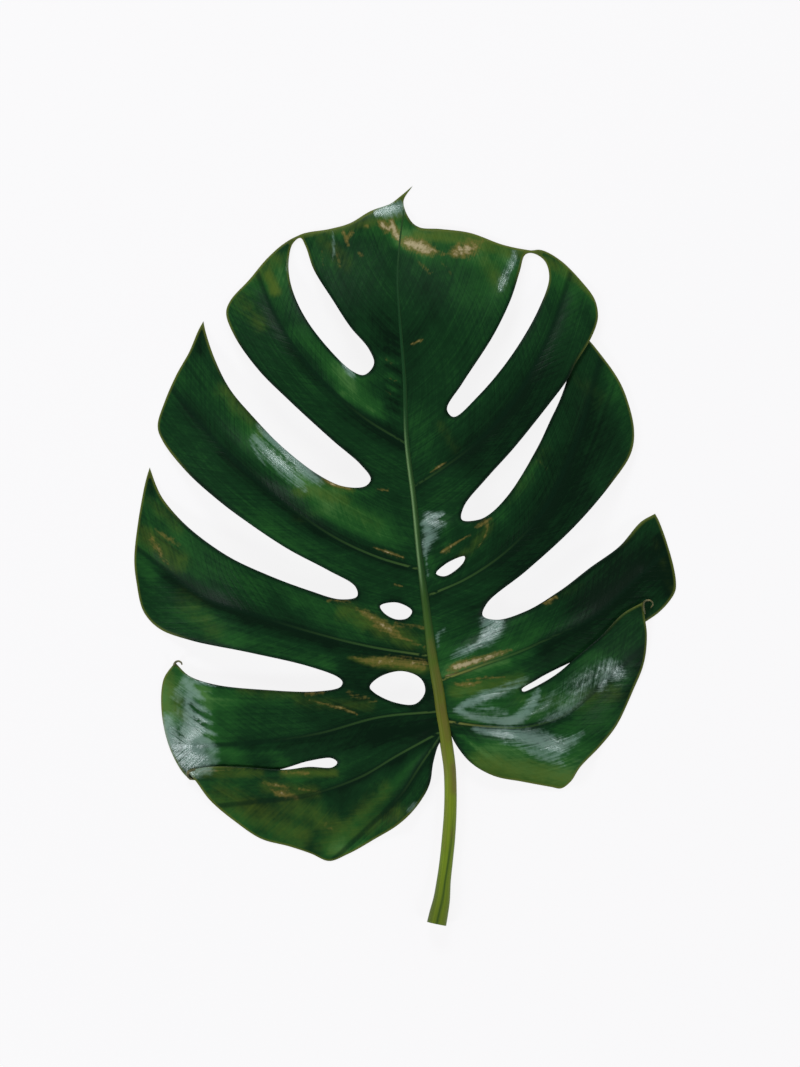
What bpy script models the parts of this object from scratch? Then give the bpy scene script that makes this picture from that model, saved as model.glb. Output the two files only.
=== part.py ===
# A cut leaf of the Swiss cheese plant, lying on its underside, upper face up, tip towards +Y.
# It has two bodies: the dark green blade, and the yellow-green stalk that runs on beneath
# the blade as its midrib. Metres, +Z up, the origin under the middle of the leaf.
import bmesh
import bpy
import numpy as np
from mathutils import Vector
from mathutils.geometry import delaunay_2d_cdt

# Driving sizes
BLADE_WIDTH = 0.352  # across the widest lobes
BLADE_THICKNESS = 0.0008
GAP = 0.00035  # between the blade and the midrib under it
ARCH_AT_BASE = 0.0105  # height of the blade's underside over the stalk
ARCH_IN_MIDDLE = 0.0150
ARCH_AT_TIP = 0.0075
FOLD_RISE = 0.0050  # the halves rise from the midrib before they droop
VEIN_DEPTH = 0.0011
VEIN_HALF_WIDTH = 0.0050
RIDGE_HEIGHT = 0.0010  # the midrib's ridge on the upper face
RIDGE_HALF_WIDTH = 0.0030
LAP_RISE = 0.0032  # how far a lobe stands over the lobe that it covers
HELD_LOBE = (195.0, 728.0)  # the fifth lobe's end stays up longer, in traced units
HELD_REACH = 70.0
HELD_BACK = 0.20
STALK_SINK = 0.0003  # pressed flat by this much where it lies

# The outline is traced from the photo, x to the right and y down, in its pixels
TRACED_WIDTH = 541.0
TRACE_MIDDLE = np.array((405.15, 555.5))
UNIT = BLADE_WIDTH / TRACED_WIDTH

# Mesh steps, in traced units
MARGIN_STEP = 8.0
GRID_STEP = 15.0
VEIN_STEP = 13.0
VEIN_ROW = 9.5  # the mesh has a row of points this far to each side of a vein
CLEARANCE = 4.5  # inner points stay this far from the margins

# Left side, from the tip down
TIP_TO_LOBE_3 = [
    (412.5, 186), (401.3, 195.5), (390, 204), (370.3, 211.7), (350, 223.7), (330, 229.4),
    (302.6, 234.2), (284, 244), (266.7, 259.5), (249.6, 280), (230.8, 300.8), (226.6, 313.3),
    (235.3, 336.7), (259.5, 370.8), (288, 399.5), (333, 440.8), (361, 465), (371, 479.4),
    (365.4, 486.6), (344, 487), (320.5, 476.7), (286.4, 450.7), (254, 417.5), (230, 388.7),
    (214.6, 358), (205.6, 331.3), (203.5, 321.4),
]
LOBE_3_TO_LOBE_4 = [
    (203.5, 321.4), (198.5, 331), (189.5, 352.3), (177, 374.4), (165.3, 401), (158, 426.4),
    (163.5, 441.7), (187.7, 472), (219, 500), (251, 524), (289, 549), (328.7, 570),
    (355.5, 586), (357.5, 596), (340.6, 599), (309, 590), (269, 575), (229, 556),
    (187.6, 526), (163.7, 499.5), (156.8, 486.6), (149.8, 467.7),
]
LOBE_4_TO_LOBE_5 = [
    (149.8, 467.7), (144.8, 485.6), (138, 523), (134.3, 559), (136.3, 581), (143.8, 612),
    (160, 628.7), (191.5, 640), (249, 651.5), (309, 665.4), (338.6, 676.4), (343, 681.3),
    (340.6, 686.3), (316.7, 690.7), (269, 689.3), (215.4, 684), (189.6, 675.4), (175.5, 662.5),
]
# The lower margin of the fifth lobe is hidden under the sixth
LOBE_5_OUTER = [
    (175.5, 662.5), (164.3, 678.8), (162, 709.6), (168, 741.4), (180.8, 769), (190, 779.5),
]
LOBE_5_LOWER = [
    (190, 779.5), (205, 780), (225, 777), (255, 773), (284.7, 767.5), (309, 760), (332, 757),
]
LOBE_6_UPPER = [
    (337.8, 761.5), (332.8, 766.4), (309, 766), (284.7, 768.8), (240, 766), (210, 766),
    (187.8, 770),
]
LOBE_6_OUTER = [
    (187.8, 770), (196.7, 781), (209.6, 799), (233.5, 820), (261, 838.7), (289, 846.3),
    (311, 853.6), (329, 861), (346.7, 854.6), (374.6, 838.7), (398.4, 823.8), (418.3, 804),
    (429.2, 784), (433.2, 761), (440, 741), (446, 737.5), (450.5, 733),
]
# Right side, from the stalk up
BASE_TO_LOBE_5 = [
    (450.5, 733), (455, 742.3), (470.4, 761.5), (493.5, 775), (522, 781), (551, 786.5),
    (561, 788), (570.4, 781), (580, 765.4), (599, 747), (616.5, 725), (633.8, 688.5),
    (643.5, 663.5), (646.3, 634.6), (643.8, 615.4), (642.5, 602),
]
RIGHT_5_UPPER = [
    (642.5, 602), (622, 613.5), (599, 636.5), (576, 656), (555, 674), (535.8, 685.6),
    (522, 691),
]
# The lower margin of the fourth lobe is hidden under the fifth
RIGHT_4_LOWER = [
    (520.8, 688.8), (535.8, 679), (553, 669.6), (575, 659), (600, 645), (622, 632),
    (646, 621), (662.5, 609), (674.8, 592.3), (676, 582.4), (670.5, 554.6), (658.5, 521),
    (654.6, 513.8),
]
RIGHT_4_TO_RIGHT_3 = [
    (654.6, 513.8), (640.6, 521.8), (619, 546), (589, 567.5), (557, 591.8), (525.4, 611),
    (497.6, 619.7), (482, 615), (486.6, 602.3), (525.4, 570.5), (571, 528.7), (609, 485),
]
# The tip of the third lobe is hidden under the second
RIGHT_3_OUTER = [
    (609, 485), (630.3, 453), (633.2, 428), (620.8, 385.4), (598.3, 352.6), (589, 341.5),
    (580, 332),
]
RIGHT_3_UPPER = [
    (580, 332), (573.5, 353), (566.5, 379), (555, 409.5), (537.3, 447), (509.5, 493),
    (489.6, 514), (477.7, 520), (461.4, 520),
]
RIGHT_2_LOWER = [
    (463.8, 506), (485.6, 479), (513.5, 448), (549, 403.5), (566.5, 379.8), (574.3, 364.6),
    (589, 341), (596, 324.6),
]
RIGHT_2_TO_TIP = [
    (597.5, 315), (594.3, 299.7), (580.7, 281), (560, 260.4), (541.4, 250.4), (529.4, 250.6),
    (502, 245), (470, 233.5), (440, 229.6), (419.6, 228), (410.5, 221), (403.4, 202),
    (412.5, 186),
]
HOLES = [
    [(300.5, 238), (306, 247), (314, 270), (333, 301), (350.5, 328), (369, 350), (374.2, 365),
     (364, 376.3), (350.5, 371), (319.5, 338.7), (301, 310.5), (291, 284.4), (288.7, 263),
     (292.7, 244)],
    [(532.6, 253.4), (544.6, 261), (549, 278), (537.4, 311.7), (510, 358), (478, 396.7),
     (453.3, 417.8), (446.6, 410), (462, 384), (492.6, 336.6), (510, 300.5), (519, 273),
     (525, 255)],
    [(380, 605.4), (396.7, 602), (412, 610.5), (407.6, 617.6), (396, 619), (383.8, 612.4)],
    [(369.7, 686), (379.7, 676), (402, 670.3), (421, 678), (425, 691), (415.6, 703),
     (396, 702), (374.8, 692.3)],
    [(435.8, 573.3), (447.3, 562.4), (464.6, 556), (462.7, 563), (444.7, 576)],
]
# Veins, from the midrib outwards
MIDRIB = [
    (450.4, 780), (445.5, 740), (440, 700), (433.5, 660), (427.5, 620), (420, 560),
    (413.7, 500), (408, 460), (405, 400), (402, 340), (397.5, 280), (400, 240), (405, 205),
]
SIDE_VEINS = [
    [(404, 443), (365, 419), (329.5, 389), (293.6, 347), (272, 310), (262, 285)],
    [(415, 568), (378, 557), (338.6, 539), (299, 513), (259, 481.6), (219, 444), (182, 399)],
    [(425, 655), (368, 645.6), (309, 630.7), (249, 612), (205.5, 597), (152, 559)],
    [(434, 711), (378.5, 716.5), (319, 732.4), (259, 741.4), (200, 745)],
    [(440, 731), (398, 754), (358.7, 777), (305, 795), (250, 802)],
    [(440, 735), (420, 765), (400, 795), (370, 825)],
    [(413, 487), (442, 469), (480, 439), (515.5, 397.6), (549, 336), (565, 290)],
    [(431, 594), (468.5, 577), (507, 550), (541.5, 511.5), (575, 440), (592, 385)],
    [(442, 679), (478, 665.4), (516.5, 652), (555, 634.6), (593.5, 615), (640, 575)],
    [(449, 721), (488, 726), (526, 726), (564.6, 713.5), (605, 680)],
]
# The stalk and midrib: x, y and half width, from the cut end to the tip
STALK = [
    (436.5, 923, 9.8), (439, 911, 9.3), (441.5, 899, 8.4), (443.7, 880, 7.1),
    (446.2, 860, 6.7), (448.4, 838, 6.7), (450, 815, 6.4), (450.5, 792, 6.2),
    (449.6, 768, 6.2), (446.5, 745, 6.4), (442.3, 718, 6.4), (438, 687, 6.3),
    (431.5, 650, 5.4), (427, 615, 4.8), (420, 560, 4.0), (413.7, 500, 3.3),
    (406, 440, 2.9), (404.5, 380, 2.3), (399.5, 320, 1.8), (398, 265, 1.3),
]
# Where one lobe lies over another: the split's inner part, the crossing of the two
# margins, the outer end, how deep the lap reaches into a lobe, how far the hidden lobe
# is drawn under the other one, and the margin on top
LAPS = [
    {"start": (337.8, 763), "cross": 53, "end": (215, 767), "reach": 75, "under": 20,
     "side": (0, -1), "over": LOBE_6_UPPER},
    {"start": (522, 691), "cross": 47, "end": (640, 606), "reach": 90, "under": 22,
     "side": (-0.6, -0.8), "over": RIGHT_5_UPPER},
    {"start": (535, 432), "cross": 61, "end": (590, 335), "reach": 62, "under": 20,
     "side": (0.87, 0.49), "over": RIGHT_2_LOWER},
]

COLOURS = {
    "leaf_blade": (0.020, 0.070, 0.025, 1.0),
    "leaf_stalk": (0.170, 0.215, 0.030, 1.0),
}
ROUGHNESS = {"leaf_blade": 0.32, "leaf_stalk": 0.45}


def smooth_step(value):
    value = np.clip(value, 0.0, 1.0)
    return value * value * (3.0 - 2.0 * value)


def along_polyline(points, step):
    """Points at about equal steps along a polyline, both ends kept."""
    points = np.asarray(points, float)
    lengths = np.linalg.norm(np.diff(points, axis=0), axis=1)
    travelled = np.concatenate(([0.0], np.cumsum(lengths)))
    count = max(2, int(round(travelled[-1] / step)) + 1)
    wanted = np.linspace(0.0, travelled[-1], count)
    return np.stack([np.interp(wanted, travelled, column) for column in points.T], axis=1)


def smooth_curve(points, step, closed=False):
    """A centripetal Catmull-Rom curve through the points, in about equal steps."""
    points = np.asarray(points, float)
    if closed:
        framed = np.concatenate((points[-1:], points, points[:2]))
    else:
        first = 2.0 * points[0] - points[1]
        last = 2.0 * points[-1] - points[-2]
        framed = np.concatenate((first[None], points, last[None]))
    fine = []
    for p0, p1, p2, p3 in zip(framed, framed[1:], framed[2:], framed[3:]):
        t1 = np.sqrt(np.linalg.norm(p1 - p0))
        t2 = t1 + np.sqrt(np.linalg.norm(p2 - p1))
        t3 = t2 + np.sqrt(np.linalg.norm(p3 - p2))
        for t in np.linspace(t1, t2, 12, endpoint=False):
            a1 = p0 + (p1 - p0) * t / t1
            a2 = p1 + (p2 - p1) * (t - t1) / (t2 - t1)
            a3 = p2 + (p3 - p2) * (t - t2) / (t3 - t2)
            b1 = a1 + (a2 - a1) * t / t2
            b2 = a2 + (a3 - a2) * (t - t1) / (t3 - t1)
            fine.append(b1 + (b2 - b1) * (t - t1) / (t2 - t1))
    fine.append(framed[-2])
    return along_polyline(fine, step)


def lap_place(lap, points):
    """How far points lie along a lap from its start, and how deep in the hidden lobe."""
    start = np.array(lap["start"], float)
    along = np.array(lap["end"], float) - start
    along /= np.linalg.norm(along)
    across = np.array((-along[1], along[0]))
    across *= np.sign(across @ np.array(lap["side"]))
    away = np.asarray(points, float) - start
    return away @ along, away @ across


def lap_push(lap, points):
    """The step that draws points of the hidden lobe under the other lobe."""
    length = np.linalg.norm(np.subtract(lap["end"], lap["start"]))
    along, depth = lap_place(lap, points)
    ramp = smooth_step((along - 0.4 * lap["cross"]) / (length - 0.4 * lap["cross"]))
    weight = ramp * (1.0 - smooth_step(depth / lap["reach"]))
    side = np.array(lap["side"], float)
    side /= np.linalg.norm(side)
    return -lap["under"] * weight[..., None] * side


def laid_open(lap, points):
    """Hidden lobe points drawn back out, so that no two lobes overlap in the flat."""
    seen = np.asarray(points, float)
    flat = seen.copy()
    for _ in range(30):
        flat = seen - lap_push(lap, flat)
    return flat


def is_hidden_lobe(lap, flat):
    """True for flat points on the hidden lobe's side of the margin that covers it."""
    over_along, over_depth = lap_place(lap, lap["over"])
    order = np.argsort(over_along)
    along, depth = lap_place(lap, flat)
    margin = np.interp(along, over_along[order], over_depth[order])
    return (depth > margin + 0.8) & (along > 0.0)


def flat_margins():
    """The outline, one smooth stretch from corner to corner, with all lobes laid open."""
    left, right, upper = LAPS
    lobe_5 = laid_open(left, LOBE_5_LOWER)
    right_4_lower = laid_open(right, RIGHT_4_LOWER)
    right_4_upper = laid_open(right, RIGHT_4_TO_RIGHT_3[:-1])
    right_3 = laid_open(upper, RIGHT_3_UPPER)
    stretches = [
        TIP_TO_LOBE_3,
        LOBE_3_TO_LOBE_4,
        LOBE_4_TO_LOBE_5,
        laid_open(left, LOBE_5_OUTER),
        np.concatenate((lobe_5, LOBE_6_UPPER)),
        LOBE_6_OUTER,
        BASE_TO_LOBE_5,
        np.concatenate((RIGHT_5_UPPER, right_4_lower)),
        np.concatenate((right_4_upper, laid_open(upper, RIGHT_3_OUTER))),
        np.concatenate((right_3, RIGHT_2_LOWER, RIGHT_2_TO_TIP)),
    ]
    return [smooth_curve(points, MARGIN_STEP) for points in stretches]


def inside(points, loop):
    """Which points lie inside a closed loop, by counting the sides to their right."""
    x, y = points[:, 0, None], points[:, 1, None]
    x1, y1 = loop[:, 0], loop[:, 1]
    x2, y2 = np.roll(x1, -1), np.roll(y1, -1)
    level = np.where(y2 == y1, 1e-9, y2 - y1)
    crosses = ((y1 > y) != (y2 > y)) & (x < (x2 - x1) * (y - y1) / level + x1)
    return crosses.sum(axis=1) % 2 == 1


def distance_to(points, line):
    """Distance from points to a polyline."""
    nearest = np.full(len(points), 1e9)
    for a, b in zip(line, line[1:]):
        side = b - a
        share = np.clip((points - a) @ side / (side @ side), 0.0, 1.0)
        nearest = np.minimum(nearest, np.linalg.norm(points - a - share[:, None] * side, axis=1))
    return nearest


def midrib_offset(points):
    """How far points lie right of the midrib."""
    line = np.array(MIDRIB[::-1])
    return points[:, 0] - np.interp(points[:, 1], line[:, 1], line[:, 0])


def leaf_height(points):
    """Height of the blade's underside over the ground, in metres, at traced points."""
    x, y = ((points - TRACE_MIDDLE) * (UNIT, -UNIT)).T
    across = np.abs(midrib_offset(points)) * UNIT
    arch = np.interp(y, (-0.20, -0.118, 0.02, 0.14, 0.24),
                     (ARCH_AT_BASE, ARCH_AT_BASE, ARCH_IN_MIDDLE, ARCH_IN_MIDDLE, ARCH_AT_TIP))
    rise = FOLD_RISE * across / (across + 0.020)
    held = np.linalg.norm(points - HELD_LOBE, axis=1) / HELD_REACH
    out = np.hypot(x / 0.172, (y - 0.020) / 0.220) - HELD_BACK * np.exp(-(held ** 2))
    droop = smooth_step((out - 0.60) / 0.42)
    groove = np.zeros(len(points))
    for vein in SIDE_VEINS:
        away = distance_to(points, np.array(vein)) * UNIT
        groove = np.maximum(groove, np.exp(-(away / VEIN_HALF_WIDTH) ** 2))
    height = (arch + rise) * (1.0 - droop) - VEIN_DEPTH * groove * smooth_step(across / 0.014)
    height = np.maximum(height, 0.0)
    ridge = np.exp(-(across / RIDGE_HALF_WIDTH) ** 2) * smooth_step((0.215 - y) / 0.06)
    return height + RIDGE_HEIGHT * ridge


def rows_beside(line, step):
    """A line in equal steps, with a row of points along each of its sides."""
    middle = along_polyline(line, step)
    side = np.gradient(middle, axis=0)
    side = side[:, ::-1] * (1.0, -1.0) / np.linalg.norm(side, axis=1)[:, None]
    return [middle + shift * side for shift in (-VEIN_ROW, 0.0, VEIN_ROW)]


def blade_points():
    """Loops and inner points of the flat blade, in traced units."""
    margin = np.concatenate([stretch[:-1] for stretch in flat_margins()])
    loops = [margin] + [smooth_curve(hole, MARGIN_STEP, closed=True)[:-1] for hole in HOLES]
    rows = rows_beside(MIDRIB[2:], VEIN_STEP)
    for vein in SIDE_VEINS:
        for row in rows_beside(vein, VEIN_STEP):
            far = np.ones(len(row), bool)
            for other in rows:
                far &= distance_to(row, other) > 0.8 * VEIN_ROW
            row = row[far]
            if len(row) > 1:
                rows.append(row)
    columns = np.arange(130.0, 690.0, GRID_STEP)
    grid = []
    for row, y in enumerate(np.arange(190.0, 865.0, GRID_STEP * 0.866)):
        grid += [(x + (row % 2) * GRID_STEP / 2, y) for x in columns]
    grid = np.array(grid)
    closed_loops = [np.concatenate((loop, loop[:1])) for loop in loops]
    for line in rows:
        grid = grid[distance_to(grid, line) > 0.6 * GRID_STEP]
    inner = np.concatenate([grid] + rows)
    for line in closed_loops:
        inner = inner[distance_to(inner, line) > CLEARANCE]
    keep = inside(inner, margin)
    for hole in loops[1:]:
        keep &= ~inside(inner, hole)
    return loops, inner[keep]


def blade_mesh():
    """The flat blade cut into triangles, then laid into its waved form."""
    loops, inner = blade_points()
    points = []
    edges = []
    for loop in loops:
        first = len(points)
        points += [Vector(p) for p in loop]
        edges += [(first + i, first + (i + 1) % len(loop)) for i in range(len(loop))]
    points += [Vector(p) for p in inner]
    flat, _, faces, *_ = delaunay_2d_cdt(points, edges, [], 0, 1e-5)
    flat = np.array([tuple(p) for p in flat])
    middles = flat[np.array(faces)].mean(axis=1)
    keep = inside(middles, loops[0])
    for hole in loops[1:]:
        keep &= ~inside(middles, hole)
    seen = flat.copy()
    rise = np.zeros(len(flat))
    for lap in LAPS:
        hidden = is_hidden_lobe(lap, flat)
        seen += np.where(hidden[:, None], lap_push(lap, flat), 0.0)
        along, depth = lap_place(lap, flat)
        ramp = smooth_step(along / lap["cross"]) * (1.0 - smooth_step(-depth / lap["reach"]))
        rise += np.where(hidden, 0.0, LAP_RISE * ramp * (depth < 25))
    height = leaf_height(seen) + rise
    place = (seen - TRACE_MIDDLE) * (UNIT, -UNIT)
    mesh = bpy.data.meshes.new("leaf_blade")
    model = bmesh.new()
    corners = [model.verts.new((x, y, z)) for (x, y), z in zip(place, height)]
    for face, wanted in zip(faces, keep):
        if wanted:
            model.faces.new([corners[i] for i in face])
    loose = [corner for corner in corners if not corner.link_faces]
    bmesh.ops.delete(model, geom=loose, context="VERTS")
    for face in model.faces:
        if face.normal.z < 0.0:
            face.normal_flip()
    model.normal_update()
    model.to_mesh(mesh)
    model.free()
    return mesh


def material(name):
    made = bpy.data.materials.new(name)
    made.use_nodes = True
    shader = made.node_tree.nodes["Principled BSDF"]
    shader.inputs["Base Color"].default_value = COLOURS[name]
    shader.inputs["Roughness"].default_value = ROUGHNESS[name]
    shader.inputs["Metallic"].default_value = 0.0
    return made


def add_object(name, mesh, group):
    made = bpy.data.objects.new(name, mesh)
    mesh.materials.append(material(name))
    group.objects.link(made)
    return made


def make_blade(group):
    """The blade: its underside as modelled, thickened upwards."""
    mesh = blade_mesh()
    mesh.shade_smooth()
    blade = add_object("leaf_blade", mesh, group)
    skin = blade.modifiers.new("Thickness", "SOLIDIFY")
    skin.thickness = BLADE_THICKNESS
    skin.offset = 1.0
    return blade


def make_stalk(group):
    """The stalk on the ground and the midrib under the blade: one tapering rod."""
    route = smooth_curve(STALK, 14.0)
    radius = route[:, 2] * UNIT
    under_blade = leaf_height(route[:, :2]) - GAP - radius
    resting = radius - STALK_SINK
    lift = smooth_step((765.0 - route[:, 1]) / 25.0)
    height = resting + lift * np.maximum(under_blade - resting, 0.0)
    place = (route[:, :2] - TRACE_MIDDLE) * (UNIT, -UNIT)
    curve = bpy.data.curves.new("leaf_stalk", "CURVE")
    curve.dimensions = "3D"
    curve.bevel_depth = 1.0
    curve.bevel_resolution = 3
    curve.use_fill_caps = True
    spline = curve.splines.new("POLY")
    spline.points.add(len(route) - 1)
    for point, (x, y), z, size in zip(spline.points, place, height, radius):
        point.co = (x, y, z, 1.0)
        point.radius = size
    guide = bpy.data.objects.new("leaf_stalk_guide", curve)
    group.objects.link(guide)
    bpy.context.view_layer.update()
    evaluated = guide.evaluated_get(bpy.context.evaluated_depsgraph_get())
    mesh = bpy.data.meshes.new_from_object(evaluated)
    mesh.name = "leaf_stalk"
    bpy.data.objects.remove(guide)
    model = bmesh.new()
    model.from_mesh(mesh)
    bmesh.ops.remove_doubles(model, verts=model.verts, dist=0.00001)
    for corner in model.verts:
        corner.co.z = max(corner.co.z, 0.0)
    bmesh.ops.triangulate(model, faces=model.faces)
    model.to_mesh(mesh)
    model.free()
    mesh.materials.clear()
    mesh.shade_smooth()
    return add_object("leaf_stalk", mesh, group)


def main():
    for old in list(bpy.data.objects):
        bpy.data.objects.remove(old, do_unlink=True)
    group = bpy.data.collections.new("monstera_leaf")
    bpy.context.scene.collection.children.link(group)
    make_blade(group)
    make_stalk(group)


main()
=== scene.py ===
import math

import bpy
import numpy as np
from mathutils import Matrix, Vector
from mathutils.geometry import convex_hull_2d, delaunay_2d_cdt


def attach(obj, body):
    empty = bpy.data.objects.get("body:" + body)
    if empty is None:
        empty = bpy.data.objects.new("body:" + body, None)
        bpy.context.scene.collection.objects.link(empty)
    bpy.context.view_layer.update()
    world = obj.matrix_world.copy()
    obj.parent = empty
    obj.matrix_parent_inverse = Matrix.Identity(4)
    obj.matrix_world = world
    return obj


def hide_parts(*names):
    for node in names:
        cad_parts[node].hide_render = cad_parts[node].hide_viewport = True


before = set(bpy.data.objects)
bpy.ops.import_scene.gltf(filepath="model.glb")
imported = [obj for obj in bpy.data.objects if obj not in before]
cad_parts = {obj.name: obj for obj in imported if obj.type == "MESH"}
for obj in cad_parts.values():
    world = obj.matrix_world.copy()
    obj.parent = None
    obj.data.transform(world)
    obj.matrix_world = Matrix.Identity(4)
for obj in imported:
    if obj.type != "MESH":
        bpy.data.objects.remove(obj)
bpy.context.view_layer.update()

# The leaf is drawn in the pixels of the photo, x to the right and y down
pixel = 0.352 / 541.0  # metres for one pixel, from the blade's width
photoMiddle = np.array((405.15, 555.5))  # the pixel over the origin
photoCentre = (400.0, 533.5)
photoSize = (800.0, 1067.0)


# Small helpers

def smoothStep(value):
    value = np.clip(value, 0.0, 1.0)
    return value * value * (3.0 - 2.0 * value)


def ease(value, start, end):
    # nought at the start and one at the end
    return smoothStep((value - start) / (end - start))


def band(value, middle, width):
    return np.exp(-((value - middle) / width) ** 2)


def evenSteps(points, step):
    points = np.asarray(points, float)
    lengths = np.linalg.norm(np.diff(points[:, :2], axis=0), axis=1)
    travelled = np.concatenate(([0.0], np.cumsum(lengths)))
    count = max(2, int(round(travelled[-1] / step)) + 1)
    wanted = np.linspace(0.0, travelled[-1], count)
    return np.stack([np.interp(wanted, travelled, column) for column in points.T], axis=1)


def smoothCurve(points, step, closed=False):
    points = np.asarray(points, float)
    if closed:
        framed = np.concatenate((points[-1:], points, points[:2]))
    else:
        framed = np.concatenate(([2 * points[0] - points[1]], points, [2 * points[-1] - points[-2]]))
    fine = []
    for p0, p1, p2, p3 in zip(framed, framed[1:], framed[2:], framed[3:]):
        t1 = np.sqrt(np.linalg.norm(p1 - p0))
        t2 = t1 + np.sqrt(np.linalg.norm(p2 - p1))
        t3 = t2 + np.sqrt(np.linalg.norm(p3 - p2))
        for t in np.linspace(t1, t2, 16, endpoint=False):
            a1 = p0 + (p1 - p0) * t / t1
            a2 = p1 + (p2 - p1) * (t - t1) / (t2 - t1)
            a3 = p2 + (p3 - p2) * (t - t2) / (t3 - t2)
            b1 = a1 + (a2 - a1) * t / t2
            b2 = a2 + (a3 - a2) * (t - t1) / (t3 - t1)
            fine.append(b1 + (b2 - b1) * (t - t1) / (t2 - t1))
    fine.append(framed[-2])
    return evenSteps(fine, step)


def nearLine(points, line):
    # distance to a polyline, the side of it (positive to its left as drawn), how far along
    best = np.full(len(points), 1e9)
    side = np.zeros(len(points))
    along = np.zeros(len(points))
    travelled = 0.0
    for a, b in zip(line, line[1:]):
        run = b - a
        length = np.linalg.norm(run)
        share = np.clip((points - a) @ run / (length * length), 0.0, 1.0)
        away = points - a - share[:, None] * run
        distance = np.hypot(away[:, 0], away[:, 1])
        closer = distance < best
        turn = run[0] * (points[:, 1] - a[1]) - run[1] * (points[:, 0] - a[0])
        best = np.where(closer, distance, best)
        side = np.where(closer, np.sign(turn), side)
        along = np.where(closer, travelled + share * length, along)
        travelled += length
    return best, side, along


def touch(points, stroke):
    # a soft stroke through places with an x, a y, a width and a strength
    line = smoothCurve(stroke, 3.0)
    value = np.zeros(len(points))
    for a, b in zip(line, line[1:]):
        run = b[:2] - a[:2]
        share = np.clip((points - a[:2]) @ run / (run @ run + 1e-9), 0.0, 1.0)
        away = points - a[:2] - share[:, None] * run
        width = a[2] + share * (b[2] - a[2])
        strength = a[3] + share * (b[3] - a[3])
        value = np.maximum(value, strength * np.exp(-(away ** 2).sum(axis=1) / width ** 2))
    return value


def brush(points, strokes):
    return np.max([touch(points, stroke) for stroke in strokes], axis=0)


def straight(strokes):
    # x and y at both ends, width, strength
    return [[(x1, y1, width, strength), (x2, y2, width, strength)]
            for x1, y1, x2, y2, width, strength in strokes]


def wash(points, washes):
    value = np.zeros(len(points))
    for strength, strokes in washes.items():
        for x1, y1, x2, y2, width in strokes:
            distance = nearLine(points, np.array(((x1, y1), (x2, y2)), float))[0]
            value += strength * band(distance, 0.0, width)
    return value


def inside(points, loop):
    x, y = points[:, 0, None], points[:, 1, None]
    x1, y1 = loop[:, 0], loop[:, 1]
    x2, y2 = np.roll(x1, -1), np.roll(y1, -1)
    rise = np.where(y2 == y1, 1e-9, y2 - y1)
    hits = ((y1 > y) != (y2 > y)) & (x < (x2 - x1) * (y - y1) / rise + x1)
    return hits.sum(axis=1) % 2 == 1


def insideMany(points, loop):
    return np.concatenate([inside(part, loop) for part in np.array_split(points, 40)])


def closedLine(loop):
    return np.concatenate((loop, loop[:1]))


def addObject(name, data):
    made = bpy.data.objects.new(name, data)
    bpy.context.scene.collection.objects.link(made)
    return made


def pick(piece):
    # a piece alone becomes the one that is worked on
    bpy.ops.object.select_all(action="DESELECT")
    piece.select_set(True)
    bpy.context.view_layer.objects.active = piece


def putAttribute(mesh, name, values):
    layer = mesh.attributes.new(name, "FLOAT", "POINT")
    layer.data.foreach_set("value", np.asarray(values, np.float32))


def putMap(mesh, name, places):
    corner = np.zeros(len(mesh.loops), int)
    mesh.loops.foreach_get("vertex_index", corner)
    layer = mesh.uv_layers.new(name=name)
    layer.data.foreach_set("uv", places[corner].astype(np.float32).ravel())


# Camera and light

camera = {
    "height": 3.0,
    "sensor": 36.0,
}
lights = {
    # name: compass bearing from +X, angle off the zenith, distance, width, height, radiance
    "northWindow": (100.0, 54.0, 2.2, 0.90, 0.50, 14.0),
    "westWindow": (214.0, 50.0, 2.2, 0.60, 0.60, 12.0),
    "eastWindow": (-38.0, 50.0, 2.2, 0.50, 0.50, 11.0),
}
lightColour = (0.90, 0.96, 1.0)
sky = {
    "horizon": (0.97, 0.98, 1.0, 1.0),
    "overhead": (0.006, 0.007, 0.008, 1.0),
    "steps": (0.42, 0.62),  # where the one turns into the other, from below to overhead
    "strength": 0.60,
}
floorLook = {
    "size": 9.0,
    "colour": (0.11, 0.11, 0.11, 1.0),
    "glow": (0.880, 0.872, 0.880, 1.0),  # it is lit from below as a light table is
}


def lightPlace(name):
    bearing, off, distance = lights[name][:3]
    bearing, off = math.radians(bearing), math.radians(off)
    level = math.sin(off) * distance
    return Vector((math.cos(bearing) * level, math.sin(bearing) * level, math.cos(off) * distance))


def cameraPlace():
    x, y = (np.array(photoCentre) - photoMiddle) * (pixel, -pixel)
    return Vector((x, y, camera["height"]))


def addCamera():
    data = bpy.data.cameras.new("photoCamera")
    data.sensor_width = camera["sensor"]
    data.lens = camera["sensor"] * camera["height"] / (photoSize[1] * pixel)
    made = addObject("photoCamera", data)
    made.location = cameraPlace()
    bpy.context.scene.camera = made


def addLights():
    for name, (_, _, _, width, height, radiance) in lights.items():
        data = bpy.data.lights.new(name, "AREA")
        data.shape = "RECTANGLE"
        data.size = width
        data.size_y = height
        data.energy = radiance * math.pi * width * height
        data.color = lightColour
        made = addObject(name, data)
        made.location = lightPlace(name)
        made.rotation_euler = (-lightPlace(name)).to_track_quat("-Z", "Y").to_euler()


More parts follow.
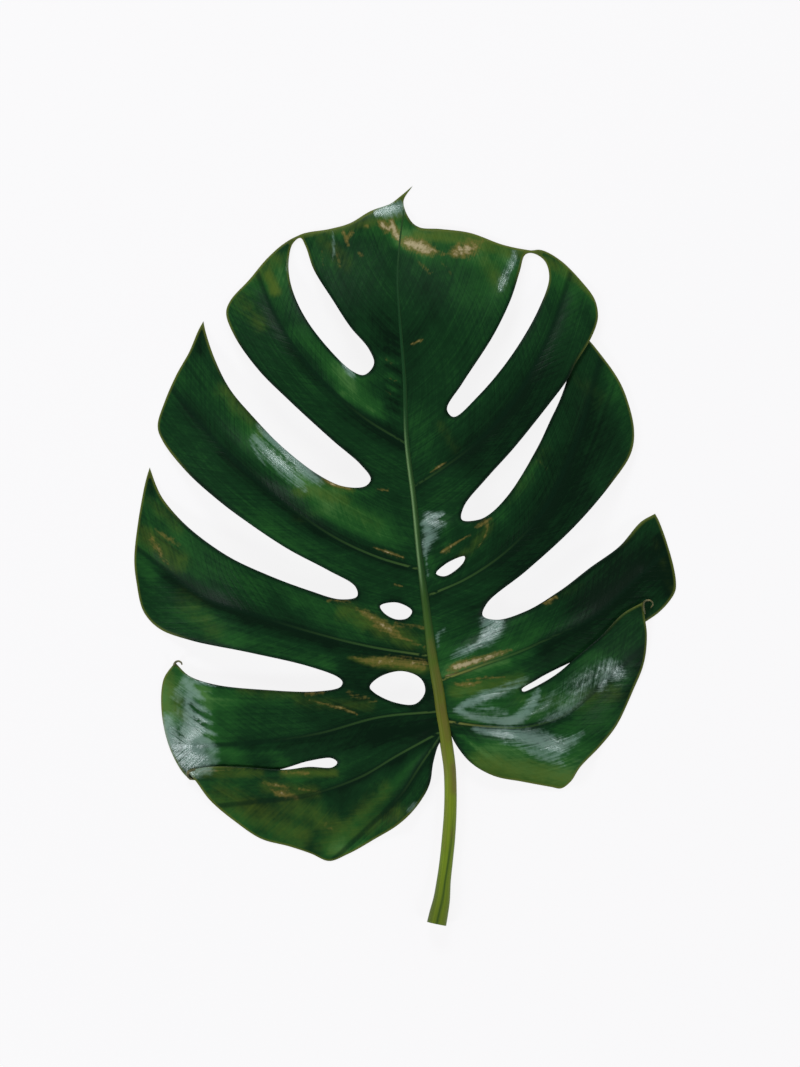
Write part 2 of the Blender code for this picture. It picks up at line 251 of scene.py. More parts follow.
def addSky():
    world = bpy.data.worlds.new("studio")
    bpy.context.scene.world = world
    world.use_nodes = True
    tree = world.node_tree
    texture = tree.nodes.new("ShaderNodeTexCoord")
    split = tree.nodes.new("ShaderNodeSeparateXYZ")
    shade = tree.nodes.new("ShaderNodeValToRGB")
    tree.links.new(texture.outputs["Generated"], split.inputs[0])
    tree.links.new(split.outputs["Z"], shade.inputs["Fac"])
    tree.links.new(shade.outputs["Color"], tree.nodes["Background"].inputs["Color"])
    for stop, step, part in zip(shade.color_ramp.elements, sky["steps"], ("horizon", "overhead")):
        stop.position = step
        stop.color = sky[part]
    tree.nodes["Background"].inputs["Strength"].default_value = sky["strength"]
    bpy.context.scene.view_settings.view_transform = "Standard"


def addFloor():
    bpy.ops.mesh.primitive_plane_add(size=floorLook["size"], location=(0, 0, 0))
    floor = bpy.context.object
    floor.name = "floor"
    paint = bpy.data.materials.new("paleFloor")
    paint.use_nodes = True
    shader = paint.node_tree.nodes["Principled BSDF"]
    shader.inputs["Base Color"].default_value = floorLook["colour"]
    shader.inputs["Roughness"].default_value = 0.9
    shader.inputs["Specular IOR Level"].default_value = 0.1
    shader.inputs["Emission Color"].default_value = floorLook["glow"]
    shader.inputs["Emission Strength"].default_value = 1.0
    floor.data.materials.append(paint)


addCamera()
addLights()
addSky()
addFloor()
print("camera, lights and floor are set")


# Outline of the blade, corner to corner, as in part.py

tipToLobe3 = [
    (412.5, 186), (401.3, 195.5), (390, 204), (370.3, 211.7), (350, 223.7), (330, 229.4),
    (302.6, 234.2), (284, 244), (266.7, 259.5), (249.6, 280), (230.8, 300.8), (226.6, 313.3),
    (235.3, 336.7), (259.5, 370.8), (288, 399.5), (333, 440.8), (361, 465), (371, 479.4),
    (365.4, 486.6), (344, 487), (320.5, 476.7), (286.4, 450.7), (254, 417.5), (230, 388.7),
    (214.6, 358), (205.6, 331.3), (203.5, 321.4),
]
lobe3ToLobe4 = [
    (203.5, 321.4), (198.5, 331), (189.5, 352.3), (177, 374.4), (165.3, 401), (158, 426.4),
    (163.5, 441.7), (187.7, 472), (219, 500), (251, 524), (289, 549), (328.7, 570),
    (355.5, 586), (357.5, 596), (340.6, 599), (309, 590), (269, 575), (229, 556),
    (187.6, 526), (163.7, 499.5), (156.8, 486.6), (149.8, 467.7),
]
lobe4ToLobe5 = [
    (149.8, 467.7), (144.8, 485.6), (138, 523), (134.3, 559), (136.3, 581), (143.8, 612),
    (160, 628.7), (191.5, 640), (249, 651.5), (309, 665.4), (338.6, 676.4), (343, 681.3),
    (340.6, 686.3), (316.7, 690.7), (269, 689.3), (215.4, 684), (189.6, 675.4), (175.5, 662.5),
]
lobe5Outer = [
    (175.5, 662.5), (164.3, 678.8), (162, 709.6), (168, 741.4), (180.8, 769), (190, 779.5),
]
lobe5Lower = [
    (190, 779.5), (205, 780), (225, 777), (255, 773), (284.7, 767.5), (309, 760), (332, 757),
]
lobe6Upper = [
    (337.8, 761.5), (332.8, 766.4), (309, 766), (284.7, 768.8), (240, 766), (210, 766),
    (187.8, 770),
]
lobe6Outer = [
    (187.8, 770), (196.7, 781), (209.6, 799), (233.5, 820), (261, 838.7), (289, 846.3),
    (311, 853.6), (329, 861), (346.7, 854.6), (374.6, 838.7), (398.4, 823.8), (418.3, 804),
    (429.2, 784), (433.2, 761), (440, 741), (446, 737.5), (450.5, 733),
]
baseToRight5 = [
    (450.5, 733), (455, 742.3), (470.4, 761.5), (493.5, 775), (522, 781), (551, 786.5),
    (561, 788), (570.4, 781), (580, 765.4), (599, 747), (616.5, 725), (633.8, 688.5),
    (643.5, 663.5), (646.3, 634.6), (643.8, 615.4), (642.5, 602),
]
right5Upper = [
    (642.5, 602), (622, 613.5), (599, 636.5), (576, 656), (555, 674), (535.8, 685.6),
    (522, 691),
]
right4Lower = [
    (520.8, 688.8), (535.8, 679), (553, 669.6), (575, 659), (600, 645), (622, 632),
    (646, 621), (662.5, 609), (674.8, 592.3), (676, 582.4), (670.5, 554.6), (658.5, 521),
    (654.6, 513.8),
]
right4ToRight3 = [
    (654.6, 513.8), (640.6, 521.8), (619, 546), (589, 567.5), (557, 591.8), (525.4, 611),
    (497.6, 619.7), (482, 615), (486.6, 602.3), (525.4, 570.5), (571, 528.7), (609, 485),
]
right3Outer = [
    (609, 485), (630.3, 453), (633.2, 428), (620.8, 385.4), (598.3, 352.6), (589, 341.5),
    (580, 332),
]
right3Upper = [
    (580, 332), (573.5, 353), (566.5, 379), (555, 409.5), (537.3, 447), (509.5, 493),
    (489.6, 514), (477.7, 520), (461.4, 520),
]
right2Lower = [
    (463.8, 506), (485.6, 479), (513.5, 448), (549, 403.5), (566.5, 379.8), (574.3, 364.6),
    (589, 341), (596, 324.6),
]
right2ToTip = [
    (597.5, 315), (594.3, 299.7), (580.7, 281), (560, 260.4), (541.4, 250.4), (529.4, 250.6),
    (502, 245), (470, 233.5), (440, 229.6), (419.6, 228), (410.5, 221), (403.4, 202),
    (412.5, 186),
]
holes = [
    [(300.5, 238), (306, 247), (314, 270), (333, 301), (350.5, 328), (369, 350), (374.2, 365),
     (364, 376.3), (350.5, 371), (319.5, 338.7), (301, 310.5), (291, 284.4), (288.7, 263),
     (292.7, 244)],
    [(532.6, 253.4), (544.6, 261), (549, 278), (537.4, 311.7), (510, 358), (478, 396.7),
     (453.3, 417.8), (446.6, 410), (462, 384), (492.6, 336.6), (510, 300.5), (519, 273),
     (525, 255)],
    [(380, 605.4), (396.7, 602), (412, 610.5), (407.6, 617.6), (396, 619), (383.8, 612.4)],
    [(369.7, 686), (379.7, 676), (402, 670.3), (421, 678), (425, 691), (415.6, 703),
     (396, 702), (374.8, 692.3)],
    [(435.8, 573.3), (447.3, 562.4), (464.6, 556), (462.7, 563), (444.7, 576)],
]
midrib = [
    (450.4, 780), (445.5, 740), (440, 700), (433.5, 660), (427.5, 620), (420, 560),
    (413.7, 500), (408, 460), (405, 400), (402, 340), (397.5, 280), (400, 240), (405, 205),
]
# Side veins from the midrib outwards, listed from the tip of the leaf down
leftVeins = [
    [(404, 443), (365, 419), (329.5, 389), (293.6, 347), (272, 310), (262, 285)],
    [(415, 568), (378, 557), (338.6, 539), (299, 513), (259, 481.6), (219, 444), (182, 399)],
    [(425, 655), (368, 645.6), (309, 630.7), (249, 612), (205.5, 597), (152, 559)],
    [(434, 711), (378.5, 716.5), (319, 732.4), (259, 741.4), (200, 745)],
    [(440, 731), (398, 754), (358.7, 777), (305, 795), (250, 802)],
    [(440, 735), (420, 765), (400, 795), (370, 825)],
]
rightVeins = [
    [(413, 487), (442, 469), (480, 439), (515.5, 397.6), (549, 336), (565, 290)],
    [(431, 594), (468.5, 577), (507, 550), (541.5, 511.5), (575, 440), (592, 385)],
    [(442, 679), (478, 665.4), (516.5, 652), (555, 634.6), (593.5, 615), (640, 575)],
    [(449, 721), (488, 726), (526, 726), (564.6, 713.5), (605, 680)],
]
# Lobes that lie over others: where the lap begins, where the margins cross, its outer end
laps = [
    {"start": (337.8, 763), "cross": 53, "end": (215, 767), "reach": 75, "under": 20,
     "side": (0, -1), "over": lobe6Upper},
    {"start": (522, 691), "cross": 47, "end": (640, 606), "reach": 90, "under": 22,
     "side": (-0.6, -0.8), "over": right5Upper},
    {"start": (535, 432), "cross": 61, "end": (590, 335), "reach": 62, "under": 20,
     "side": (0.87, 0.49), "over": right2Lower},
]


def lapPlace(lap, points):
    start = np.array(lap["start"], float)
    along = np.array(lap["end"], float) - start
    along /= np.linalg.norm(along)
    across = np.array((-along[1], along[0]))
    across *= np.sign(across @ np.array(lap["side"]))
    away = np.asarray(points, float) - start
    return away @ along, away @ across


def lapPush(lap, points):
    length = np.linalg.norm(np.subtract(lap["end"], lap["start"]))
    along, depth = lapPlace(lap, points)
    ramp = smoothStep((along - 0.4 * lap["cross"]) / (length - 0.4 * lap["cross"]))
    weight = ramp * (1.0 - smoothStep(depth / lap["reach"]))
    side = np.array(lap["side"], float)
    return -lap["under"] * weight[..., None] * side / np.linalg.norm(side)


def laidOpen(lap, points):
    seen = np.asarray(points, float)
    flat = seen.copy()
    for _ in range(30):
        flat = seen - lapPush(lap, flat)
    return flat


def isHiddenLobe(lap, flat):
    overAlong, overDepth = lapPlace(lap, lap["over"])
    order = np.argsort(overAlong)
    along, depth = lapPlace(lap, flat)
    margin = np.interp(along, overAlong[order], overDepth[order])
    return (depth > margin + 0.8) & (along > 0.0)


def flatOutline(step):
    left, right, upper = laps
    stretches = [
        tipToLobe3,
        lobe3ToLobe4,
        lobe4ToLobe5,
        laidOpen(left, lobe5Outer),
        np.concatenate((laidOpen(left, lobe5Lower), lobe6Upper)),
        lobe6Outer,
        baseToRight5,
        np.concatenate((right5Upper, laidOpen(right, right4Lower))),
        np.concatenate((laidOpen(right, right4ToRight3[:-1]), laidOpen(upper, right3Outer))),
        np.concatenate((laidOpen(upper, right3Upper), right2Lower, right2ToTip)),
    ]
    return np.concatenate([smoothCurve(points, step)[:-1] for points in stretches])


# Form of the blade

blade = {
    "thickness": 0.0007,
    "marginStep": 2.0,  # pixels between mesh points
    "marginRows": (1.7, 3.8, 6.4),
    "gridStep": 2.9,
    "gridRow": 0.866,  # rows of the grid lie this much of a step apart
    "gridGap": 0.6,  # the grid stays this much of a step away from the rows along the veins
    "gridBox": (130, 690, 188, 864),  # left, right, top and bottom in pixels
    "rowGap": 1.5,  # pixels that the rows along the veins keep from each other
    "marginGap": 1.3,  # pixels that all of them keep from the rows along the margins
    "marginShare": 0.93,  # a margin's rows end where another margin is nearer than this
    "thinStroke": 3.2,  # strokes under this width get rows of mesh points of their own
    "thinStep": 2.2,
    "veinStep": 3.0,
    "veinRows": (-6.5, -4.0, -2.0, 0.0, 2.0, 4.0, 6.5),
    "midribRows": (-13.0, -10.0, -7.0, -4.5, -2.0, 2.0, 4.5, 7.0, 10.0, 13.0),
    "arch": (0.0105, 0.0150, 0.0075),  # height at the base, in the middle and at the tip
    "foldRise": 0.0050,
    "veinBack": 12.0,  # how far a side vein is drawn on into the midrib and past the margin
    "veinPast": 160.0,
    "topSpread": 1.25,  # how fast the streaks change above the uppermost side vein
    "veinBlend": 16.0,  # pixels over which the choice between two veins becomes clear
    "veinDepth": 0.0011,
    "veinWidth": 0.0045,
    "heldLobe": (195.0, 728.0, 70.0, 0.20),  # the fifth lobe's end stays up longer
    "lapRise": 0.0032,
    "lapDeep": 25,  # pixels beyond its line in which the upper lobe of a lap is raised
    "archPlaces": (-0.20, -0.118, 0.02, 0.14, 0.24),  # y in metres for the three heights
    "foldWidth": 0.020,
    "droopMiddle": 0.020,
    "droopSize": (0.172, 0.220),  # half width and half length of the drooping oval
    "droopShare": (0.60, 1.02),  # where the droop begins and ends on it
    "veinStart": 0.014,  # the grooves fade in over this distance from the midrib
    "veinSlant": 1.3,  # how far the fine veins run outwards for each step from a side vein
    "fanLobe": (742, 767),  # below these y, left of fanEdge, the fine veins fan out
    "fanEdge": 445,
    "pleats": 0.00006,  # height of the small waves along the fine veins
    "pleatPitch": (0.0074, 0.0113),
    "pleatFade": (22.0, 9.0, 8.0),  # pixels from midrib, vein and margin in which they rise
    # painted shade along the side veins, faint above them and deeper below
    "veinPaintedShade": ((-0.15, 4.0), (-0.5, 8.0)),  # tone and width above and below a side vein
    "outerMargin": (16, 50),  # pixels from the hull at which a margin stops being an outer one
    "edgeRoll": 0.0004,
    "edgeRollWidth": 5.0,
}
# Slopes that face a light: x, y, long and short radius in pixels, turn in degrees (clockwise
# from the right), the light, how much of the needed slope they take
facets = [
    (388, 210, 26, 13, -20, "northWindow", 1.0),
    (508, 272, 34, 13, 110, "northWindow", 0.7),
    (346, 366, 26, 9, 45, "northWindow", 0.7),
    (280, 460, 60, 20, 42, "northWindow", 0.9),
    (435, 521, 24, 18, 0, "northWindow", 0.9),
    (482, 637, 44, 16, -38, "northWindow", 1.0),
    (490, 697, 50, 12, -24, "northWindow", 0.9),
    (530, 703, 24, 11, -55, "northWindow", 0.8),
    (612, 672, 36, 32, -60, "eastWindow", 0.8),
    (515, 738, 54, 15, 14, "northWindow", 0.9),
    (558, 750, 30, 20, 20, "northWindow", 0.8),
    (188, 745, 54, 40, 80, "westWindow", 0.9),
    (412, 806, 18, 10, -50, "northWindow", 0.8),
]
# Lifts: x, y, radius in pixels, height in metres
lifts = [
    (205, 725, 40, 0.0015), (600, 690, 44, 0.0012), (540, 745, 36, 0.0012),
    (245, 425, 34, 0.0008), (310, 330, 36, 0.0008), (235, 560, 44, 0.0008),
    (300, 800, 40, 0.0008), (560, 470, 40, 0.0008), (460, 330, 40, 0.0008),
]
# How pale each vein's line is at the midrib, and how many pixels it takes to fade
leftPale = [(0.40, 100), (0.70, 170), (0.75, 190), (0.70, 200), (0.65, 200), (0.55, 110)]
rightPale = [(0.40, 100), (0.70, 150), (1.0, 180), (1.0, 190)]

midribLine = smoothCurve(midrib, 6.0)[::-1]
leftCurves = [smoothCurve(vein, 6.0) for vein in leftVeins]
rightCurves = [smoothCurve(vein, 6.0) for vein in rightVeins]


def midribOffset(points):
    return points[:, 0] - np.interp(points[:, 1], midribLine[:, 1], midribLine[:, 0])


def pastMargin(curve):
    # a side vein drawn on into the midrib and out past the leaf's margin
    back = curve[0] - curve[1]
    ahead = curve[-1] - curve[-4]
    return np.concatenate(([curve[0] + blade["veinBack"] * back / np.linalg.norm(back)], curve,
                           [curve[-1] + blade["veinPast"] * ahead / np.linalg.norm(ahead)]))


def veinFacts(points):
    # what the veins say of every point: a number level along the streaks between them, the
    # distance to the nearest vein, the side of it, how far along it, how clear the choice is
    # and how pale the vein is there
    offset = midribOffset(points)
    flow, near, side, along, clear, pale = np.zeros((6, len(points)))
    for curves, paleness, here in ((leftCurves, leftPale, offset < 0.0),
                                   (rightCurves, rightPale, offset >= 0.0)):
        some = points[here]
        roots = [curve[0][1] for curve in curves]
        facts = [nearLine(some, pastMargin(curve)) for curve in curves]
        distance = np.array([fact[0] for fact in facts])
        sign = -1.0 if curves is leftCurves else 1.0
        below = np.array([fact[1] * sign > 0.0 for fact in facts])
        rank = below.cumprod(axis=0).sum(axis=0)  # how many veins the point lies below
        value = np.zeros(len(some))
        for k in range(len(curves) + 1):
            chosen = rank == k
            if k == 0:
                value[chosen] = roots[0] - blade["topSpread"] * distance[0][chosen]
            elif k == len(curves):
                value[chosen] = roots[-1] + distance[-1][chosen]
            else:
                a, b = distance[k - 1][chosen], distance[k][chosen]
                value[chosen] = (roots[k - 1] * b + roots[k] * a) / (a + b + 1e-6)
        nearest = distance.argmin(axis=0)
        own = (nearest, np.arange(len(some)))
        ordered = np.sort(distance, axis=0)
        strength, reach = np.array(paleness)[nearest].T
        flow[here] = value
        near[here] = distance[own]
        side[here] = np.where(below[own], -1.0, 1.0)
        along[here] = np.array([fact[2] for fact in facts])[own]
        clear[here] = smoothStep((ordered[1] - ordered[0]) / blade["veinBlend"])
        pale[here] = strength * (1.0 - smoothStep(along[here] / reach))
    return flow, near, side, along, clear, pale


def leafHeight(points):
    # height of the blade's underside, the same form as the solid's
    x, y = ((points - photoMiddle) * (pixel, -pixel)).T
    across = np.abs(midribOffset(points)) * pixel
    low, middle, tip = blade["arch"]
    arch = np.interp(y, blade["archPlaces"], (low, low, middle, middle, tip))
    rise = blade["foldRise"] * across / (across + blade["foldWidth"])
    heldX, heldY, reach, back = blade["heldLobe"]
    held = np.hypot(points[:, 0] - heldX, points[:, 1] - heldY) / reach
    wide, long = blade["droopSize"]
    out = np.hypot(x / wide, (y - blade["droopMiddle"]) / long) - back * np.exp(-(held ** 2))
    droop = ease(out, *blade["droopShare"])
    groove = np.zeros(len(points))
    for curve in leftCurves + rightCurves:
        away = nearLine(points, curve)[0] * pixel
        groove = np.maximum(groove, band(away, 0.0, blade["veinWidth"]))
    height = (arch + rise) * (1.0 - droop)
    for px, py, radius, size in lifts:
        away = np.hypot(points[:, 0] - px, points[:, 1] - py)
        height = height + size * band(away, 0.0, radius)
    height -= blade["veinDepth"] * groove * smoothStep(across / blade["veinStart"])
    return height


def facetForm(points, slopes):
    height = np.zeros(len(points))
    for (x, y, long, short, turn, _, _), slope in zip(facets, slopes):
        away = points - (x, y)
        turn = math.radians(turn)
        u = away @ (math.cos(turn), math.sin(turn)) / long
        v = away @ (-math.sin(turn), math.cos(turn)) / short
        weight = np.exp(-(u * u + v * v))
        height += weight * (away * (pixel, -pixel) @ slope)
    return height


def facetSlopes():
    # the slope that sends each light to the camera, less the slope that is there already
    slopes = []
    eye = cameraPlace()
    for x, y, _, _, _, light, share in facets:
        around = np.array(((x + 3, y), (x - 3, y), (x, y - 3), (x, y + 3)), float)
        height = leafHeight(around) + facetForm(around, slopes)
        here = np.array((height[0] - height[1], height[2] - height[3])) / (6.0 * pixel)
        px, py = (np.array((x, y)) - photoMiddle) * (pixel, -pixel)
        point = Vector((px, py, 0.01))
        half = (eye - point).normalized() + (lightPlace(light) - point).normalized()
        wanted = np.array((-half.x / half.z, -half.y / half.z))
        slopes.append((wanted - here) * share)
    return slopes


slopes = facetSlopes()


# Markings of the blade as soft strokes. Curved ones go through places with an x, a y, a width
# and a strength, straight ones have x and y at both ends, a width and a strength

# Where the leaf shines: these strokes give the coat its gloss and also paint a pale highlight into
# the colour
shineStrokes = [
    [(333, 233, 1.8, 0.4), (334, 248, 2.2, 0.5), (333, 262, 1.8, 0.4)],
    [(378, 213, 5, 0.9), (388, 210, 8, 1.0), (397, 209, 8, 1.0)],
    [(514, 253, 3, 0.55), (513, 262, 5, 0.75), (507, 273, 4.5, 0.45), (502, 285, 4.5, 0.7),
     (500, 292, 3, 0.5)],
    [(333, 349, 1.5, 0.5), (341, 360, 2.5, 0.8), (350, 373, 3, 0.9), (356, 380, 2, 0.4)],
    [(289, 258, 2, 0.5), (287, 272, 2, 0.5)],
    [(258, 426, 3, 0.45), (270, 437, 5, 0.9), (286, 449, 7, 1.0), (300, 463, 8, 0.95),
     (308, 473, 8, 0.9), (320, 483, 5, 0.6)],
    [(255, 438, 4, 0.8), (264, 448, 5, 0.85), (276, 461, 6, 0.8), (288, 472, 7, 0.8),
     (300, 482, 6, 0.7), (306, 490, 3.5, 0.5)],
    [(251, 442, 2, 0.6), (258, 454, 2.5, 0.6), (266, 466, 2, 0.4)],
    [(427, 516, 5, 0.7), (434, 517, 5, 0.75), (442, 515, 4, 0.55)],
    [(427, 524, 6, 0.9), (434, 525, 8, 0.8), (442, 525, 5, 0.6)],
    [(428, 531, 6, 1.0), (432, 533, 6, 0.9), (428, 541, 5.5, 0.95), (426, 549, 4, 0.9),
     (425, 555, 2.5, 0.6)],
    [(426, 556, 1.8, 0.5), (427, 566, 1.6, 0.4), (428, 575, 1.8, 0.5)],
    [(486, 622, 7, 0.95), (498, 622, 7, 0.95), (492, 630, 9, 0.95), (485, 638, 7, 0.9),
     (476, 645, 4, 0.75), (466, 650, 4.5, 0.8), (457, 654, 4, 0.7), (451, 658, 2.5, 0.4)],
    [(438, 646, 2, 0.4), (438, 634, 2.5, 0.6), (444, 629, 3, 0.5)],
    [(456, 709, 2.5, 1.0), (468, 703, 4.5, 0.95), (482, 697, 6, 0.85), (500, 690, 7, 0.7),
     (514, 684, 6, 0.55), (525, 678, 5, 0.35)],
    [(457, 710, 3, 1.0), (472, 715, 3.5, 1.0), (492, 719, 4, 1.0), (509, 720, 5, 1.0),
     (521, 715, 6, 1.0), (530, 706, 6, 0.9), (535, 698, 5.5, 0.85), (538, 690, 3.5, 0.6)],
    [(470, 708, 3, 0.4), (490, 709, 4, 0.5), (505, 711, 4, 0.4)],
    [(536, 710, 6, 0.35), (546, 702, 7, 0.45), (553, 692, 6, 0.3)],
    [(538, 721, 4, 0.4), (556, 714, 6, 0.6), (568, 705, 9, 0.55), (576, 695, 11, 0.45),
     (584, 684, 11, 0.40)],
    [(560, 700, 12, 0.35), (580, 684, 16, 0.35), (598, 675, 16, 0.45), (611, 671, 14, 0.65),
     (619, 672, 9, 0.6)],
    [(601, 686, 8, 0.55), (606, 674, 8, 0.65), (609, 661, 6, 0.55)],
    [(474, 728, 3.5, 0.85), (488, 731, 5, 0.9), (504, 733, 7, 0.9), (522, 736, 9, 0.95),
     (540, 741, 11, 0.95), (555, 747, 11, 0.85), (568, 743, 8, 0.7), (582, 733, 4, 0.45)],
    [(500, 741, 3, 0.4), (520, 746, 4, 0.5), (540, 753, 7, 0.7), (556, 758, 6, 0.6),
     (564, 765, 3, 0.3)],
    [(188, 681, 7, 0.8), (192, 692, 8, 0.95), (190, 706, 8, 0.75), (192, 720, 10, 0.9),
     (192, 744, 18, 1.0), (194, 758, 17, 1.0), (194, 768, 10, 0.9)],
    [(192, 686, 5, 0.9), (199, 696, 5, 0.95), (206, 702, 3.5, 0.7)],
    [(192, 701, 4, 0.85), (200, 707, 4, 0.95), (211, 713, 3, 0.75)],
    [(193, 712, 4.5, 0.95), (202, 717, 4.5, 1.0), (214, 726, 3, 0.75)],
    [(196, 724, 5.5, 1.0), (207, 730, 5, 0.95), (217, 736, 3, 0.7)],
    [(200, 736, 8, 1.0), (209, 742, 7, 0.9), (214, 750, 6, 0.65)],
    [(200, 756, 10, 0.9), (213, 757, 8, 0.65)],
    [(168, 720, 9, 0.8), (171, 738, 11, 0.95), (178, 750, 9, 0.8), (196, 766, 10, 0.9),
     (208, 764, 9, 0.8), (214, 758, 6, 0.4)],
    [(177, 700, 8, 0.4), (182, 690, 8, 0.55), (187, 680, 6, 0.7)],
    [(178, 712, 9, 0.3), (182, 722, 9, 0.5)],
    [(193, 681, 2.5, 0.8), (205, 683.5, 2, 0.85), (216, 686, 1.5, 0.6)],
    [(205, 691, 2, 0.45), (216, 693, 2, 0.3)],
    [(408, 811, 2, 0.5), (412, 807, 2.5, 0.65), (416, 802, 2, 0.5)],
]
# Dark streaks that cut into the gloss and the painted highlight of the left lobe
cutStrokes = straight([
    (191, 704, 198, 711, 2.0, 0.60), (198, 711, 211, 716, 2.0, 0.65), (194, 717, 205, 723, 2.0, 0.5),
    (205, 723, 219, 729, 2.2, 0.65), (206, 733, 218, 738, 2.0, 0.5), (196, 686, 215, 689, 2.0, 0.45),
    (200, 700, 211, 703, 2.0, 0.45), (194, 697, 201, 702, 1.6, 0.3), (182, 738, 191, 743, 2.4, 0.3),
    (204, 692, 209, 697, 1.4, 0.4), (604, 690, 612, 671, 1.6, 0.15), (592, 692, 599, 677, 1.6, 0.1),
    (440, 520, 446, 517, 1.6, 0.3), (433, 528, 441, 523, 1.4, 0.3), (176, 752, 196, 750, 1.4, 0.2),
])
# Where the streaks of the gloss and of the painted highlight run at an angle to the side veins
fanStrokes = straight([
    (185, 690, 190, 760, 32, 1.0), (600, 690, 620, 650, 34, 1.0), (545, 720, 575, 700, 14, 0.6),
])
tanStrokes = straight([
    (382, 224, 388, 230, 5, 0.9), (398, 232, 400, 243, 3.5, 0.7), (405, 239, 409, 249, 4.5, 0.7),
    (430, 254, 454, 255, 3, 0.45), (348, 238, 352, 233, 3, 0.6), (366, 226, 368, 227, 2.5, 0.6),
    (360, 254, 362, 256, 2.5, 0.5), (337, 250, 340, 268, 3, 0.3), (322, 250, 324, 266, 2.5, 0.3),
    (411, 345, 422, 341, 1.8, 0.7), (545, 603, 555, 597, 2.5, 0.7), (446, 675, 470, 669, 1.4, 0.7),
    (396, 624, 424, 627, 3, 0.5), (305, 694, 325, 692, 2, 0.5), (348, 692, 376, 700, 3.5, 0.4),
    (300, 788, 320, 791, 2, 0.55), (283, 771, 308, 772, 2.5, 0.5), (378, 490, 388, 491, 1.6, 0.6),
    (386, 360, 392, 364, 2, 0.35), (390, 379, 396, 382, 2, 0.35), (387, 392, 391, 395, 1.6, 0.3),
    (395, 584, 402, 586, 1.6, 0.6), (328, 600, 350, 602, 1.6, 0.5), (325, 823, 332, 830, 4, 0.35),
    (538, 462, 546, 470, 3, 0.25), (418, 263, 430, 274, 3, 0.35), (440, 262, 452, 276, 2, 0.3),
])
tanStrokes += [
    [(391, 221, 3.5, 0.9), (394, 229, 4, 1.0), (398, 239, 4, 0.9)],
    [(407, 243, 7, 0.9), (416, 246, 9, 0.95), (426, 250, 8, 0.9), (435, 253, 5, 0.6)],
    [(456, 253, 7, 0.85), (465, 250, 9, 0.9), (474, 247, 8, 0.75), (481, 243, 4, 0.5)],
    [(343, 232, 2, 0.6), (346, 238, 2.5, 0.7), (348, 246, 2, 0.5)],
    [(430, 473, 1.3, 0.4), (437, 468, 2, 0.75), (446, 463, 1.3, 0.4)],
    [(442, 552, 2.2, 0.75), (448, 548, 2.6, 0.75), (458, 541, 1.6, 0.6), (470, 535, 1.4, 0.5)],
    [(476, 527, 2, 0.5), (483, 523, 3, 0.65), (491, 519, 2, 0.4)],
    [(477, 548, 1.3, 0.4), (484, 537, 1.6, 0.5), (487, 526, 1.8, 0.5)],
    [(447, 670, 2.5, 0.7), (456, 666, 4.0, 1.0), (470, 661, 4.2, 1.0), (486, 657, 3.4, 0.95),
     (500, 652, 2.8, 0.9), (513, 649, 1.5, 0.5)],
    [(452, 682, 2, 0.5), (464, 684, 3.2, 0.7), (482, 681, 2, 0.5)],
    [(466, 679, 1.2, 0.4), (484, 677, 1.8, 0.6), (504, 676, 1.2, 0.4)],
    [(356, 608, 2, 0.45), (366, 613, 4, 0.6), (380, 623, 6, 0.7), (392, 631, 5, 0.7),
     (404, 638, 2.5, 0.55), (425, 646, 1.3, 0.4)],
    [(350, 656, 2, 0.35), (370, 660, 5, 0.6), (395, 661, 6, 0.65), (424, 664, 6, 0.6)],
    [(310, 699, 1.5, 0.4), (330, 704, 2, 0.6), (345, 708, 2, 0.7), (357, 713, 1.5, 0.5)],
    [(263, 782, 2, 0.5), (275, 784, 3.5, 0.6), (288, 787, 3, 0.5)],
    [(271, 788, 2.5, 0.5), (283, 793, 5, 0.7), (298, 797, 3, 0.55)],
    [(374, 547, 1, 0.5), (388, 552, 1.5, 0.85), (403, 557, 1.2, 0.7)],
    [(148, 534, 3, 0.4), (156, 545, 4, 0.6), (165, 560, 3, 0.5), (174, 570, 2, 0.3)],
    [(156, 530, 3, 0.35), (170, 538, 4, 0.45), (184, 548, 3, 0.3)],
    [(321, 479, 1.3, 0.5), (334, 485, 2, 0.9), (350, 489.5, 1.4, 0.7)],
    [(192, 771, 1.6, 0.6), (215, 769, 1.4, 0.5), (245, 768, 1.2, 0.3)],
]
